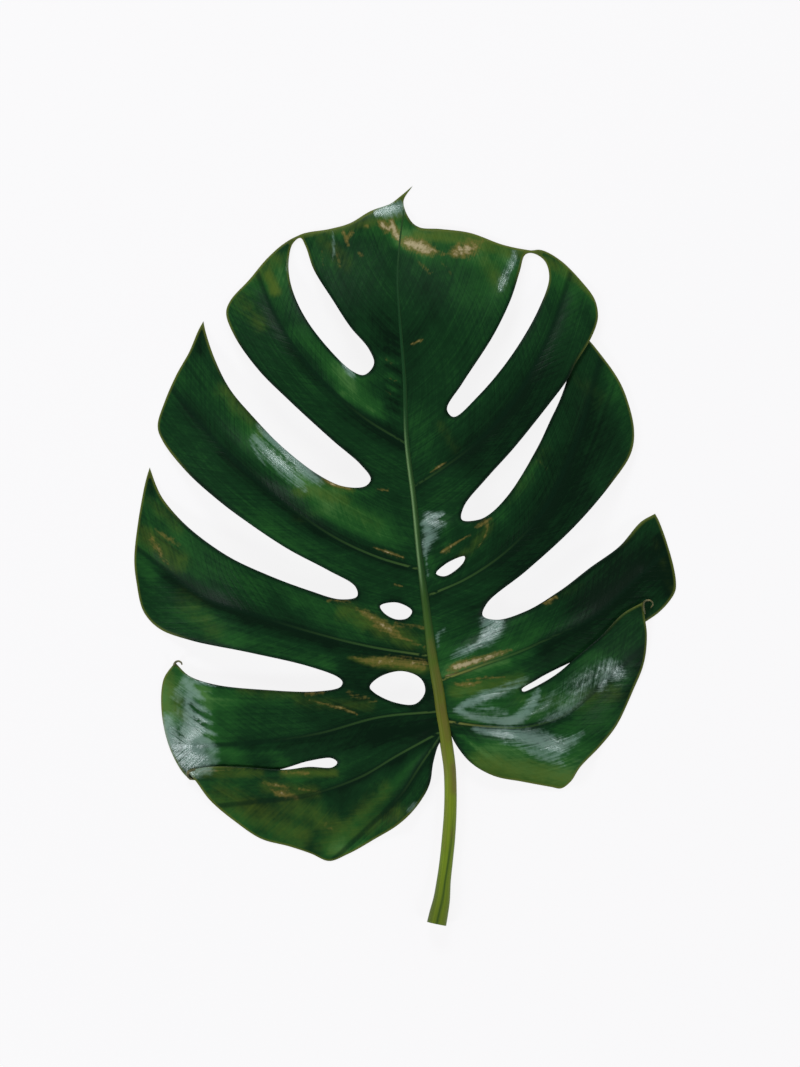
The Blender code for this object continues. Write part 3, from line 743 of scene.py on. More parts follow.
oliveStrokes = straight([
    (269, 275, 276, 292, 6, 1.0), (245, 275, 275, 262, 12, 0.5), (240, 300, 262, 325, 14, 0.35),
    (325, 240, 345, 265, 12, 0.35), (330, 232, 400, 215, 6, 0.6), (396, 200, 408, 190, 4, 0.9),
    (415, 236, 500, 243, 6, 0.8), (470, 245, 525, 256, 7, 0.6), (485, 262, 500, 285, 12, 0.4),
    (322, 482, 352, 491, 4, 0.6), (300, 490, 345, 500, 9, 0.5), (225, 390, 262, 430, 12, 0.4),
    (145, 535, 180, 562, 14, 0.5), (150, 500, 180, 530, 9, 0.35), (185, 600, 215, 630, 16, 0.3),
    (345, 612, 410, 640, 12, 0.55), (168, 680, 176, 700, 12, 0.6),
    (168, 705, 185, 715, 8, 0.6), (195, 772, 260, 772, 6, 0.6), (283, 772, 335, 772, 5, 0.7),
    (265, 785, 315, 792, 9, 0.5), (200, 790, 240, 830, 6, 0.5), (225, 795, 300, 836, 18, 0.5),
    (320, 845, 400, 812, 12, 0.4), (340, 830, 385, 790, 12, 0.4), (508, 500, 545, 450, 12, 0.22),
    (455, 690, 520, 680, 9, 0.6), (480, 763, 570, 782, 15, 0.75), (545, 600, 580, 585, 6, 0.2),
    (655, 540, 672, 590, 7, 0.2), (580, 700, 615, 690, 14, 0.4), (580, 380, 600, 400, 14, 0.2),
    (545, 262, 590, 285, 8, 0.5), (460, 560, 490, 525, 7, 0.4), (440, 425, 455, 450, 8, 0.25),
    (300, 700, 370, 705, 9, 0.35), (375, 525, 330, 500, 14, 0.25), (240, 690, 300, 695, 8, 0.35),
    (425, 620, 425, 655, 6, 0.3), (330, 850, 345, 855, 9, 0.4), (520, 700, 560, 700, 14, 0.25),
    (418, 229, 470, 236, 2.6, 1.0), (470, 236, 528, 251, 2.6, 1.0), (300, 237, 345, 227, 2.4, 0.9),
    (290, 805, 340, 830, 18, 0.45), (300, 520, 345, 500, 10, 0.2), (345, 227, 398, 199, 2.4, 0.9),
    (560, 262, 594, 300, 2.6, 0.7), (450, 725, 520, 727, 1.6, 0.5),
])
oliveStrokes += [
    [(348, 657, 2, 0.5), (370, 661, 5, 0.8), (400, 664, 6.5, 0.8), (424, 668, 6, 0.8)],
]
# Partly painted light and shade: painted shadow below the side veins and beside lobes that lie over
# others, lighter paint where a lobe faces the light; partly the leaf's own tones
# Lighter and darker washes, which add up: for each strength, x and y at both ends and a width
toneAndPaintedLightWashes = {
    -0.9: [(520, 560, 600, 440, 34), (150, 469, 150, 492, 6)],
    -0.8: [(250, 617, 330, 642, 9), (545, 652, 605, 618, 13), (414, 706, 428, 694, 6),
        (203, 323, 200, 350, 7)],
    -0.7: [(320, 527, 400, 562, 8), (375, 738, 430, 727, 12), (428, 680, 432, 705, 6),
        (480, 440, 545, 372, 22), (575, 602, 640, 570, 18)],
    -0.6: [(230, 452, 320, 527, 11), (165, 577, 250, 617, 9), (662, 540, 673, 590, 8),
        (626, 700, 643, 660, 7), (136, 520, 145, 540, 7), (487, 602, 525, 570, 4),
        (466, 504, 486, 480, 5), (450, 412, 478, 372, 5)],
    -0.5: [(295, 348, 400, 440, 9), (345, 412, 402, 446, 10), (330, 643, 425, 656, 6),
        (345, 668, 362, 690, 12), (280, 752, 430, 724, 10), (385, 815, 420, 768, 5),
        (432, 745, 436, 760, 12), (600, 592, 640, 602, 12), (590, 550, 655, 560, 22),
        (438, 603, 482, 608, 12), (596, 706, 606, 696, 10), (660, 540, 673, 600, 7)],
    -0.45: [(442, 452, 482, 470, 16)],
    -0.4: [(380, 325, 392, 395, 15), (340, 786, 400, 757, 5), (505, 450, 552, 402, 14),
        (520, 725, 570, 718, 3), (540, 610, 630, 595, 12), (362, 660, 385, 680, 10),
        (275, 603, 300, 612, 9), (472, 752, 500, 766, 8), (325, 500, 372, 526, 8),
        (250, 805, 285, 818, 9), (492, 640, 520, 632, 8), (535, 452, 548, 462, 9),
        (440, 738, 446, 730, 3), (357, 597, 400, 599, 5), (348, 452, 370, 478, 5),
        (640, 690, 645, 650, 4), (588, 640, 606, 650, 8)],
    -0.35: [(430, 285, 440, 308, 14), (190, 410, 232, 440, 13), (310, 788, 335, 795, 12)],
    -0.3: [(412, 335, 412, 395, 14), (360, 300, 385, 330, 14), (650, 540, 668, 590, 10),
        (255, 810, 275, 815, 9), (180, 590, 235, 600, 14), (265, 488, 300, 515, 10),
        (340, 260, 352, 320, 10), (615, 570, 655, 585, 12), (250, 705, 380, 722, 12),
        (222, 794, 245, 798, 7), (552, 265, 560, 275, 6), (585, 312, 596, 330, 7),
        (210, 735, 250, 745, 8), (505, 628, 570, 612, 7), (430, 318, 410, 338, 8)],
    -0.2: [(265, 300, 285, 330, 12), (380, 478, 402, 500, 12), (265, 690, 350, 700, 10),
        (390, 768, 430, 750, 10), (395, 500, 402, 530, 5), (310, 720, 330, 728, 10),
        (270, 590, 290, 615, 6), (420, 455, 424, 500, 6)],
    -0.1: [(300, 420, 260, 380, 22), (575, 385, 590, 420, 12)],
    0.1: [(150, 602, 170, 620, 14), (215, 785, 262, 787, 14), (450, 480, 470, 500, 14)],
    0.2: [(370, 255, 345, 275, 18), (435, 602, 470, 642, 16), (600, 645, 636, 640, 12),
        (612, 722, 616, 705, 10), (500, 640, 520, 628, 10), (232, 690, 232, 760, 7)],
    0.25: [(340, 838, 400, 770, 6), (512, 492, 542, 442, 12), (298, 805, 340, 828, 15),
        (605, 628, 628, 616, 12), (250, 440, 300, 492, 12), (310, 510, 392, 543, 5)],
    0.3: [(232, 300, 240, 315, 12), (250, 515, 340, 568, 14), (220, 568, 290, 600, 16),
        (240, 642, 330, 662, 12), (230, 720, 300, 726, 12), (400, 812, 428, 770, 5),
        (500, 514, 518, 486, 12), (590, 450, 600, 475, 14), (470, 745, 500, 752, 8),
        (540, 262, 575, 275, 8), (420, 270, 480, 290, 14), (600, 420, 606, 460, 12),
        (200, 648, 335, 668, 5), (225, 800, 290, 832, 12), (560, 775, 578, 782, 8),
        (385, 378, 398, 396, 6), (140, 560, 200, 572, 9), (340, 640, 420, 640, 5),
        (590, 655, 625, 668, 10), (565, 770, 582, 760, 9), (270, 748, 300, 758, 8)],
    0.35: [(460, 300, 495, 300, 16), (145, 490, 150, 530, 14), (180, 535, 200, 548, 9)],
    0.4: [(286, 256, 284, 270, 6), (175, 530, 190, 555, 12), (290, 780, 340, 772, 9),
        (240, 810, 300, 832, 18), (558, 280, 572, 320, 14), (520, 745, 560, 755, 12),
        (460, 700, 470, 685, 14), (280, 762, 300, 780, 8), (165, 770, 185, 790, 8),
        (378, 225, 396, 242, 8), (335, 235, 375, 232, 6), (566, 275, 575, 300, 10),
        (180, 380, 172, 400, 9), (470, 668, 530, 648, 7), (523, 698, 535, 690, 8),
        (580, 668, 605, 652, 10), (225, 755, 245, 765, 8), (275, 755, 290, 768, 7),
        (430, 625, 440, 650, 8), (480, 505, 500, 518, 10), (340, 395, 372, 412, 5),
        (372, 598, 392, 618, 8), (440, 668, 505, 660, 7), (205, 740, 214, 752, 7),
        (310, 240, 340, 235, 8), (508, 478, 534, 468, 9), (465, 710, 540, 714, 9)],
    0.45: [(415, 415, 424, 445, 16), (355, 822, 425, 750, 5)],
    0.5: [(228, 390, 252, 425, 14), (200, 785, 245, 830, 8), (545, 268, 590, 290, 14),
        (560, 730, 605, 722, 10), (395, 232, 480, 248, 7), (505, 255, 516, 272, 8),
        (330, 375, 345, 360, 8), (380, 362, 392, 392, 8), (345, 395, 385, 420, 5),
        (320, 500, 400, 540, 14), (450, 672, 525, 652, 12), (335, 848, 352, 852, 8),
        (245, 270, 262, 285, 10), (216, 300, 222, 330, 9), (222, 330, 245, 365, 6),
        (316, 255, 335, 266, 8), (500, 250, 510, 262, 8), (590, 290, 594, 315, 7),
        (594, 478, 602, 496, 9), (250, 838, 300, 846, 7), (163, 685, 168, 712, 7),
        (455, 716, 480, 722, 7), (428, 560, 438, 572, 8), (498, 745, 520, 750, 8),
        (450, 655, 480, 668, 12), (420, 236, 520, 248, 8), (335, 490, 372, 492, 5),
        (445, 522, 447, 545, 6), (448, 674, 505, 660, 6), (440, 234, 480, 242, 5),
        (560, 540, 603, 492, 4), (612, 686, 626, 680, 7), (450, 420, 478, 399, 4),
        (462, 522, 500, 506, 4), (490, 745, 572, 760, 9), (172, 692, 190, 684, 9)],
    0.6: [(480, 262, 500, 285, 14), (250, 275, 275, 290, 24), (300, 602, 360, 625, 12),
        (330, 852, 345, 856, 8), (612, 375, 629, 440, 12), (500, 642, 560, 612, 15),
        (490, 703, 555, 700, 14), (385, 215, 402, 235, 10), (138, 535, 150, 575, 11),
        (275, 262, 283, 282, 7), (430, 255, 500, 262, 10), (300, 480, 318, 490, 6),
        (388, 389, 396, 393, 2.5), (262, 436, 308, 482, 9), (468, 720, 505, 722, 7),
        (518, 722, 538, 716, 8), (176, 716, 190, 732, 8), (188, 684, 198, 694, 9),
        (392, 214, 420, 232, 12), (402, 246, 416, 252, 6), (345, 373, 372, 379, 5)],
    0.7: [(300, 335, 350, 385, 11), (255, 445, 330, 500, 18), (195, 612, 232, 640, 15),
        (228, 700, 290, 698, 14), (212, 735, 236, 752, 12), (330, 846, 380, 822, 14),
        (575, 745, 590, 752, 12), (245, 522, 352, 587, 5), (160, 690, 166, 725, 8),
        (440, 678, 460, 672, 8), (391, 376, 399, 381, 3)],
    0.8: [(330, 505, 375, 530, 16), (343, 850, 362, 842, 7), (388, 360, 398, 364, 3),
        (205, 690, 214, 760, 8)],
    0.9: [(455, 690, 520, 680, 9), (570, 702, 600, 704, 12), (400, 240, 425, 254, 9),
        (185, 670, 212, 700, 13), (460, 735, 500, 764, 1.8)],
    1.0: [(345, 385, 375, 408, 11)],
    1.1: [(168, 680, 172, 712, 14)],
    1.7: [(478, 760, 565, 778, 13)],
    -0.85: [(386, y - 4, 399, y + 3, 2) for y in (338, 345, 353, 370, 385, 394, 402, 411)],
}


def outerShare(points, loop):
    # one at the leaf's outer margins, nought at those of the splits
    hull = loop[convex_hull_2d([Vector(p) for p in loop])]
    away = nearLine(points, closedLine(hull))[0]
    return 1.0 - ease(away, *blade["outerMargin"])


def besideLine(line, step, shifts):
    middle = evenSteps(line, step)
    side = np.gradient(middle, axis=0)
    side = side[:, ::-1] * (1.0, -1.0) / np.linalg.norm(side, axis=1)[:, None]
    return [middle + shift * side for shift in shifts]


def marginRows(loops):
    # rows of mesh points along the margins
    rows = []
    kept = [closedLine(loop) for loop in loops]
    for loop in loops:
        side = np.roll(loop, -1, axis=0) - np.roll(loop, 1, axis=0)
        side = side[:, ::-1] * (1.0, -1.0) / np.linalg.norm(side, axis=1)[:, None]
        for shift in blade["marginRows"]:
            for sign in (-1.0, 1.0):
                row = loop + sign * shift * side
                row = row[insideMany(row, loops[0])]
                for line in kept:
                    row = row[nearLine(row, line)[0] > blade["marginShare"] * shift]
                rows.append(row)
    return rows


def bladePoints():
    outline = flatOutline(blade["marginStep"])
    loops = [outline]
    loops += [smoothCurve(hole, blade["marginStep"], closed=True)[:-1] for hole in holes]
    middle = smoothCurve(midrib[1:], 4.0)
    rows = besideLine(middle, blade["veinStep"], blade["midribRows"])
    lines = [(middle, max(blade["midribRows"]))]
    for vein in leftVeins + rightVeins:
        vein = smoothCurve(pastMargin(smoothCurve(vein, 6.0))[:-1], 4.0)
        for row in besideLine(vein, blade["veinStep"], blade["veinRows"]):
            far = np.ones(len(row), bool)
            for line, reach in lines:
                far &= nearLine(row, line)[0] > reach + blade["rowGap"]
            rows.append(row[far])
        lines.append((vein, max(blade["veinRows"])))
    for stroke in tanStrokes + shineStrokes + cutStrokes:
        line = smoothCurve(stroke, 3.0)
        width = line[:, 2].mean()
        if width < blade["thinStroke"]:
            rows += besideLine(line[:, :2], blade["thinStep"], (-width, 0.0, width))
    step = blade["gridStep"]
    grid = []
    left, right, upper, lower = blade["gridBox"]
    for row, y in enumerate(np.arange(upper, lower, step * blade["gridRow"])):
        x = np.arange(left, right, step) + (row % 2) * step / 2
        grid.append(np.stack((x, np.full(len(x), y)), axis=1))
    grid = np.concatenate(grid)
    grid = grid[insideMany(grid, outline)]
    for line, reach in lines:
        grid = grid[nearLine(grid, line)[0] > reach + blade["gridGap"] * step]
    inner = np.concatenate([grid] + [row for row in rows if len(row)])
    keep = insideMany(inner, outline)
    clearance = max(blade["marginRows"]) + blade["marginGap"]
    for loop in loops:
        keep &= nearLine(inner, closedLine(loop))[0] > clearance
    inner = np.concatenate([inner[keep]] + marginRows(loops))
    for hole in loops[1:]:
        inner = inner[~insideMany(inner, hole)]
    return loops, inner


# Threads that curl from the lobes' tips: x, y, metres over the blade, half width in pixels
threads = [
    [(644.5, 614, 0.0032, 0.9), (643, 606, 0.0038, 1.0), (644, 601.5, 0.0041, 0.9),
     (648, 600, 0.0041, 0.9), (651.5, 601.5, 0.0038, 0.8), (652.5, 604.5, 0.0032, 0.7),
     (650.5, 607.5, 0.0026, 0.5)],
    [(174.5, 664.5, 0.0008, 1.4), (176, 662, 0.0014, 1.2), (179, 660.8, 0.0020, 1.0),
     (182, 662.5, 0.0022, 0.9), (182.5, 664.5, 0.0018, 0.6)],
    [(200, 769.5, 0.0036, 1.2), (193, 769.5, 0.0040, 1.5), (188.5, 772, 0.0036, 1.5),
     (188.5, 776.5, 0.0026, 1.3), (192.5, 779, 0.0016, 0.9)],
]


def makeThread(thread):
    route = smoothCurve(thread, 0.8)
    place = (route[:, :2] - photoMiddle) * (pixel, -pixel)
    spine = np.column_stack((place, leafHeight(route[:, :2]) + route[:, 2]))
    curve = bpy.data.curves.new("thread", "CURVE")
    curve.dimensions = "3D"
    curve.bevel_depth = pixel
    curve.bevel_resolution = 2
    curve.use_fill_caps = True
    line = curve.splines.new("POLY")
    line.points.add(len(spine) - 1)
    for point, corner, size in zip(line.points, spine, route[:, 3]):
        point.co = (*corner, 1.0)
        point.radius = size
    return addObject("thread", curve)


def triangles(loops, inner):
    # the flat blade as points and faces, without what lies outside or in a hole
    points = []
    edges = []
    for loop in loops:
        first = len(points)
        points += [Vector(p) for p in loop]
        edges += [(first + i, first + (i + 1) % len(loop)) for i in range(len(loop))]
    points += [Vector(p) for p in inner]
    flat, _, faces, *_ = delaunay_2d_cdt(points, edges, [], 0, 1e-5)
    flat = np.array([tuple(p) for p in flat])
    faces = np.array(faces)
    middles = flat[faces].mean(axis=1)
    keep = insideMany(middles, loops[0])
    for hole in loops[1:]:
        keep &= ~insideMany(middles, hole)
    faces = faces[keep]
    used = np.unique(faces)
    renumber = np.zeros(len(flat), int)
    renumber[used] = np.arange(len(used))
    return flat[used], renumber[faces]


def makeBlade():
    loops, inner = bladePoints()
    flat, faces = triangles(loops, inner)
    seen = flat.copy()
    rise = np.zeros(len(flat))
    for lap in laps:
        hidden = isHiddenLobe(lap, flat)
        seen += np.where(hidden[:, None], lapPush(lap, flat), 0.0)
        along, depth = lapPlace(lap, flat)
        ramp = smoothStep(along / lap["cross"]) * (1.0 - smoothStep(-depth / lap["reach"]))
        rise += np.where(hidden, 0.0, blade["lapRise"] * ramp * (depth < blade["lapDeep"]))
    edge = np.full(len(flat), 1e9)
    for loop in loops:
        edge = np.minimum(edge, nearLine(flat, closedLine(loop))[0])
    flow, near, side, along, clear, pale = veinFacts(seen)
    offset = midribOffset(seen)
    clear *= 1.0 - ease(seen[:, 1], *blade["fanLobe"]) * (seen[:, 0] < blade["fanEdge"])
    ahead = along - blade["veinSlant"] * near
    turns = [ahead * pixel * 2.0 * math.pi / pitch for pitch in blade["pleatPitch"]]
    wave = np.sin(turns[0]) + np.sin(turns[1] + 1.0)
    byMidrib, byVein, byMargin = blade["pleatFade"]
    strength = clear * smoothStep(np.abs(offset) / byMidrib) * smoothStep(near / byVein)
    wave *= strength * smoothStep(edge / byMargin)
    roll = blade["edgeRoll"] * (1.0 - smoothStep(edge / blade["edgeRollWidth"])) ** 2
    height = leafHeight(seen) + facetForm(seen, slopes) + blade["pleats"] * wave - roll
    height = np.maximum(height, 0.0) + rise
    place = (seen - photoMiddle) * (pixel, -pixel)
    corners = np.column_stack((place, height))
    a, b, c = corners[faces[:, 0]], corners[faces[:, 1]], corners[faces[:, 2]]
    turned = np.cross(b - a, c - a)[:, 2] < 0.0
    faces[turned] = faces[turned][:, ::-1]
    mesh = bpy.data.meshes.new("blade")
    mesh.from_pydata(corners.tolist(), [], faces.tolist())
    shine = np.clip(brush(seen, shineStrokes) - brush(seen, cutStrokes), 0.0, 1.0)
    putAttribute(mesh, "shine", shine)
    putAttribute(mesh, "fan", brush(seen, fanStrokes))
    putAttribute(mesh, "tan", brush(seen, tanStrokes))
    putAttribute(mesh, "olive", brush(seen, oliveStrokes))
    # painted shade along the side veins, added to the washes of painted light and shade and of the
    # leaf's own tones
    paintedVeinShades = [toneAndPaintedLight * band(near, 0.0, width) for toneAndPaintedLight, width in blade["veinPaintedShade"]]
    shade = np.where(side > 0.0, *paintedVeinShades)
    putAttribute(mesh, "toneAndPaintedLight", shade + wash(seen, toneAndPaintedLightWashes))
    putAttribute(mesh, "edge", edge * pixel * 1000.0)
    putAttribute(mesh, "vein", near * pixel * 1000.0)
    putAttribute(mesh, "pale", pale)
    putAttribute(mesh, "clear", clear)
    putAttribute(mesh, "outer", outerShare(flat, loops[0]))
    putAttribute(mesh, "midrib", np.abs(offset) * pixel * 1000.0)
    putMap(mesh, "veinMap", np.column_stack((flow, np.abs(offset))) * pixel)
    putMap(mesh, "lobeMap", np.column_stack((ahead, near)) * pixel)
    made = addObject("blade", mesh)
    mesh.materials.append(bladeMaterial())
    mesh.materials.append(undersideMaterial())
    mesh.materials.append(rimMaterial())
    pick(made)
    bpy.ops.object.shade_smooth()
    skin = made.modifiers.new("Thickness", "SOLIDIFY")
    skin.thickness = blade["thickness"]
    skin.offset = 1.0
    skin.material_offset = 1
    skin.material_offset_rim = 2
    bpy.ops.object.modifier_apply(modifier=skin.name)
    addThreads(made)
    print("blade:", len(made.data.polygons), "faces")
    return made


def addThreads(made):
    dry = curlMaterial()
    for thread in threads:
        curl = makeThread(thread)
        curl.data.materials.append(dry)
        pick(curl)
        bpy.ops.object.convert(target="MESH")
        bpy.ops.object.shade_smooth()
        made.select_set(True)
        bpy.context.view_layer.objects.active = made
        bpy.ops.object.join()


# Materials

class Nodes:
    # short ways to add and join shader nodes
    def __init__(self, name):
        self.material = bpy.data.materials.new(name)
        self.material.use_nodes = True
        self.tree = self.material.node_tree
        self.shader = self.tree.nodes["Principled BSDF"]

    def put(self, target, value):
        if hasattr(value, "is_linked"):
            self.tree.links.new(value, target)
        else:
            target.default_value = value

    def set(self, name, value):
        self.put(self.shader.inputs[name], value)

    def add(self, kind, **values):
        node = self.tree.nodes.new(kind)
        for key, value in values.items():
            setattr(node, key, value)
        return node

    def attribute(self, name):
        return self.add("ShaderNodeAttribute", attribute_name=name).outputs["Fac"]

    def math(self, operation, a, b=0.0, clamp=False):
        node = self.add("ShaderNodeMath", operation=operation, use_clamp=clamp)
        self.put(node.inputs[0], a)
        self.put(node.inputs[1], b)
        return node.outputs[0]

    def times(self, a, b):
        return self.math("MULTIPLY", a, b)

    def sum(self, *values):
        total = values[0]
        for value in values[1:]:
            total = self.math("ADD", total, value)
        return total

    def spread(self, noise, size):
        # a noise around nought
        return self.times(self.math("SUBTRACT", noise, 0.5), size)

    def ramp(self, value, low, high, outLow=0.0, outHigh=1.0, smooth=True):
        kind = "SMOOTHSTEP" if smooth else "LINEAR"
        node = self.add("ShaderNodeMapRange", interpolation_type=kind)
        settings = {"Value": value, "From Min": low, "From Max": high,
                    "To Min": outLow, "To Max": outHigh}
        for name, setting in settings.items():
            self.put(node.inputs[name], setting)
        return node.outputs[0]

    def stops(self, value, low, high, colours):
        # colours at even steps from low to high
        node = self.add("ShaderNodeValToRGB")
        self.put(node.inputs[0], self.ramp(value, low, high, smooth=False))
        steps = node.color_ramp.elements
        while len(steps) < len(colours):
            steps.new(0.5)
        for k, colour in enumerate(colours):
            steps[k].position = k / (len(colours) - 1)
            steps[k].color = colour
        return node.outputs[0]

    def mix(self, share, a, b, blend="MIX"):
        node = self.add("ShaderNodeMix", data_type="RGBA", blend_type=blend)
        self.put(node.inputs[0], share)
        self.put(node.inputs[6], a)
        self.put(node.inputs[7], b)
        return node.outputs[2]

    def noise(self, vector, scale, detail=3.0, roughness=0.55):
        node = self.add("ShaderNodeTexNoise")
        settings = {"Vector": vector, "Scale": scale, "Detail": detail, "Roughness": roughness}
        for name, setting in settings.items():
            self.put(node.inputs[name], setting)
        return node.outputs["Fac"]

    def stretch(self, vector, scale):
        node = self.add("ShaderNodeMapping")
        self.put(node.inputs["Vector"], vector)
        node.inputs["Scale"].default_value = scale
        return node.outputs[0]

    def sideVeins(self, uv, pitch, waver):
        # fine creases level with the first number of a map
        split = self.add("ShaderNodeSeparateXYZ")
        self.put(split.inputs[0], uv)
        turns = self.times(split.outputs[0], 2.0 * math.pi / pitch)
        wave = self.math("SINE", self.math("ADD", turns, waver))
        return self.ramp(wave, 0.45, 1.0)

    def bump(self, height, strength, distance, normal=None):
        node = self.add("ShaderNodeBump")
        self.put(node.inputs["Height"], height)
        node.inputs["Strength"].default_value = strength
        node.inputs["Distance"].default_value = distance
        if normal is not None:
            self.put(node.inputs["Normal"], normal)
        return node.outputs[0]


bladeLook = {
    # from the darkest to the lightest green
    "greens": [(0.0050, 0.0185, 0.0080, 1), (0.0095, 0.0470, 0.0145, 1),
               (0.0230, 0.1120, 0.0230, 1), (0.0850, 0.2200, 0.0550, 1)],
    "olive": (0.110, 0.165, 0.022, 1),
    "tan": (0.250, 0.185, 0.045, 1),
    "paleTan": (0.680, 0.530, 0.310, 1),
    # dark green painted as shade in the grooves beside the side veins
    "paintedCreaseShade": (0.0060, 0.0240, 0.0110, 1),
    "paleVein": (0.085, 0.185, 0.045, 1),
    "yellowVein": (0.270, 0.290, 0.070, 1),
    "rim": (0.150, 0.180, 0.030, 1),
    # pale bluish colour painted in as a highlight where the leaf shines
    "paintedHighlight": (0.305, 0.460, 0.385, 1),
    # how strongly each pattern lightens or darkens the green
    "mottle": {"streak": (1.5, 0.9), "blotch": 0.5, "feather": 0.9, "cloud": 1.1, "strand": 1.5,
               "fine": 0.6, "speck": 0.7, "ridges": -0.35, "paintedSplitShade": -1.05},
    # how far each colour covers the green
    "cover": {"olive": 0.75, "tan": 0.80, "paintedCreaseShade": 0.65, "vein": 0.80, "rim": 0.8, "paintedHighlight": 0.60},
    "roughness": 0.38,
    "specular": 0.055,
    "coat": 0.012,  # gloss away from the shine strokes
    "coatRoughness": 0.20,
    "streakBump": 0.6,
}


def bladeMaterial():
    size, cover = bladeLook["mottle"], bladeLook["cover"]
    n = Nodes("glossyBlade")
    veinUv = n.add("ShaderNodeUVMap", uv_map="veinMap").outputs[0]
    lobeUv = n.add("ShaderNodeUVMap", uv_map="lobeMap").outputs[0]
    solid = n.add("ShaderNodeTexCoord").outputs["Object"]
    clear = n.attribute("clear")
    streak = n.noise(n.stretch(veinUv, (330.0, 20.0, 1.0)), 1.0, 4.0, 0.6)
    feather = n.noise(n.stretch(lobeUv, (420.0, 35.0, 1.0)), 1.0, 4.0, 0.6)
    fine = n.noise(n.stretch(lobeUv, (1300.0, 90.0, 1.0)), 1.0, 2.0, 0.5)
    strand = n.noise(n.stretch(veinUv, (900.0, 40.0, 1.0)), 1.0, 4.0, 0.6)
    cloud = n.noise(solid, 22.0, 4.0, 0.55)
    blotch = n.noise(solid, 130.0, 4.0, 0.6)
    speck = n.noise(solid, 330.0, 4.0, 0.6)
    waver = n.spread(blotch, 5.0)
    outer = n.times(clear, n.ramp(n.attribute("midrib"), 20.0, 60.0))
    ridges = n.mix(outer, n.sideVeins(veinUv, 0.0062, waver), n.sideVeins(lobeUv, 0.0052, waver))
    ridges = n.times(ridges, n.ramp(cloud, 0.35, 0.7, 0.0, 0.6))
    outside = n.attribute("outer")
    # painted shade along the margins of the splits and holes
    paintedSplitShade = n.times(n.ramp(n.attribute("edge"), 0.0, 3.0, 1.0, 0.0),
                    n.math("SUBTRACT", 1.0, outside))
    # the leaf's own mottled tones together with the painted light and shade of the washes, the side
    # veins and the split margins
    toneAndPaintedLight = n.sum(n.attribute("toneAndPaintedLight"), n.spread(streak, n.ramp(clear, 0.0, 1.0, *size["streak"])),
                 n.spread(blotch, size["blotch"]), n.spread(feather, n.times(clear, size["feather"])),
                 n.spread(cloud, size["cloud"]), n.spread(strand, size["strand"]),
                 n.spread(fine, size["fine"]), n.spread(speck, size["speck"]),
                 n.times(ridges, size["ridges"]), n.times(paintedSplitShade, size["paintedSplitShade"]))
    colour = n.stops(toneAndPaintedLight, -1.0, 2.0, bladeLook["greens"])
    yellowed = n.attribute("olive")
    olive = n.sum(yellowed, n.spread(blotch, 0.8), n.spread(feather, 0.6))
    olive = n.times(n.ramp(olive, 0.0, 1.1), n.ramp(yellowed, 0.02, 0.4))
    colour = n.mix(n.times(olive, cover["olive"]), colour, bladeLook["olive"])
    brushed = n.attribute("tan")
    tan = n.sum(brushed, n.spread(speck, 1.2), n.spread(strand, 1.0))
    tan = n.times(n.ramp(tan, 0.18, 0.85), n.ramp(brushed, 0.04, 0.30))
    tanColour = n.mix(n.ramp(n.sum(brushed, n.spread(speck, 1.2)), 0.62, 1.02),
                      bladeLook["tan"], bladeLook["paleTan"])
    colour = n.mix(n.times(tan, cover["tan"]), colour, tanColour)
    vein = n.math("ADD", n.attribute("vein"), n.spread(strand, 0.5))
    # painted shade in the groove beside each side vein
    paintedCreaseShade = n.times(n.ramp(vein, 0.6, 2.6, 1.0, 0.0), cover["paintedCreaseShade"])
    colour = n.mix(paintedCreaseShade, colour, bladeLook["paintedCreaseShade"])
    pale = n.attribute("pale")
    line = n.times(n.ramp(vein, 0.35, 1.05, 1.0, 0.0), n.times(pale, cover["vein"]))
    lineColour = n.mix(n.ramp(pale, 0.6, 0.95), bladeLook["paleVein"], bladeLook["yellowVein"])
    colour = n.mix(line, colour, lineColour)
    rim = n.ramp(n.math("ADD", n.attribute("edge"), n.spread(cloud, -1.5)), 0.3, 2.0, 1.0, 0.0)
    rim = n.times(rim, n.times(outside, cover["rim"]))
    colour = n.mix(rim, colour, bladeLook["rim"])
    across = n.math("ADD", n.times(feather, 0.6), n.times(fine, 0.4))
    grain = n.mix(n.attribute("fan"), strand, across)
    glossAndPaintedHighlight = n.attribute("shine")
    shine = n.sum(glossAndPaintedHighlight, n.spread(grain, 1.6), n.spread(speck, 0.9))
    shine = n.times(n.ramp(shine, 0.10, 1.00), n.ramp(glossAndPaintedHighlight, 0.03, 0.35))
    # a painted highlight: where the leaf shines, a pale colour is mixed into the green
    colour = n.mix(n.times(shine, cover["paintedHighlight"]), colour, bladeLook["paintedHighlight"])
    n.set("Base Color", colour)
    n.set("Roughness", n.math("ADD", n.spread(blotch, 0.10), bladeLook["roughness"]))
    n.set("Specular IOR Level", bladeLook["specular"])
    n.set("Coat Weight", n.ramp(shine, 0.0, 0.9, bladeLook["coat"], 1.0))
    n.set("Coat Roughness", bladeLook["coatRoughness"])
    deep = n.ramp(glossAndPaintedHighlight, 0.0, 0.5, 0.20, 1.0)
    height = n.math("SUBTRACT", n.times(grain, deep), n.times(ridges, 0.3))
    bumped = n.bump(height, bladeLook["streakBump"], 0.0006)
    bumped = n.bump(n.noise(solid, 1100.0, 2.0), 0.08, 0.0002, bumped)
    n.set("Normal", bumped)
    n.set("Coat Normal", bumped)
    return n.material


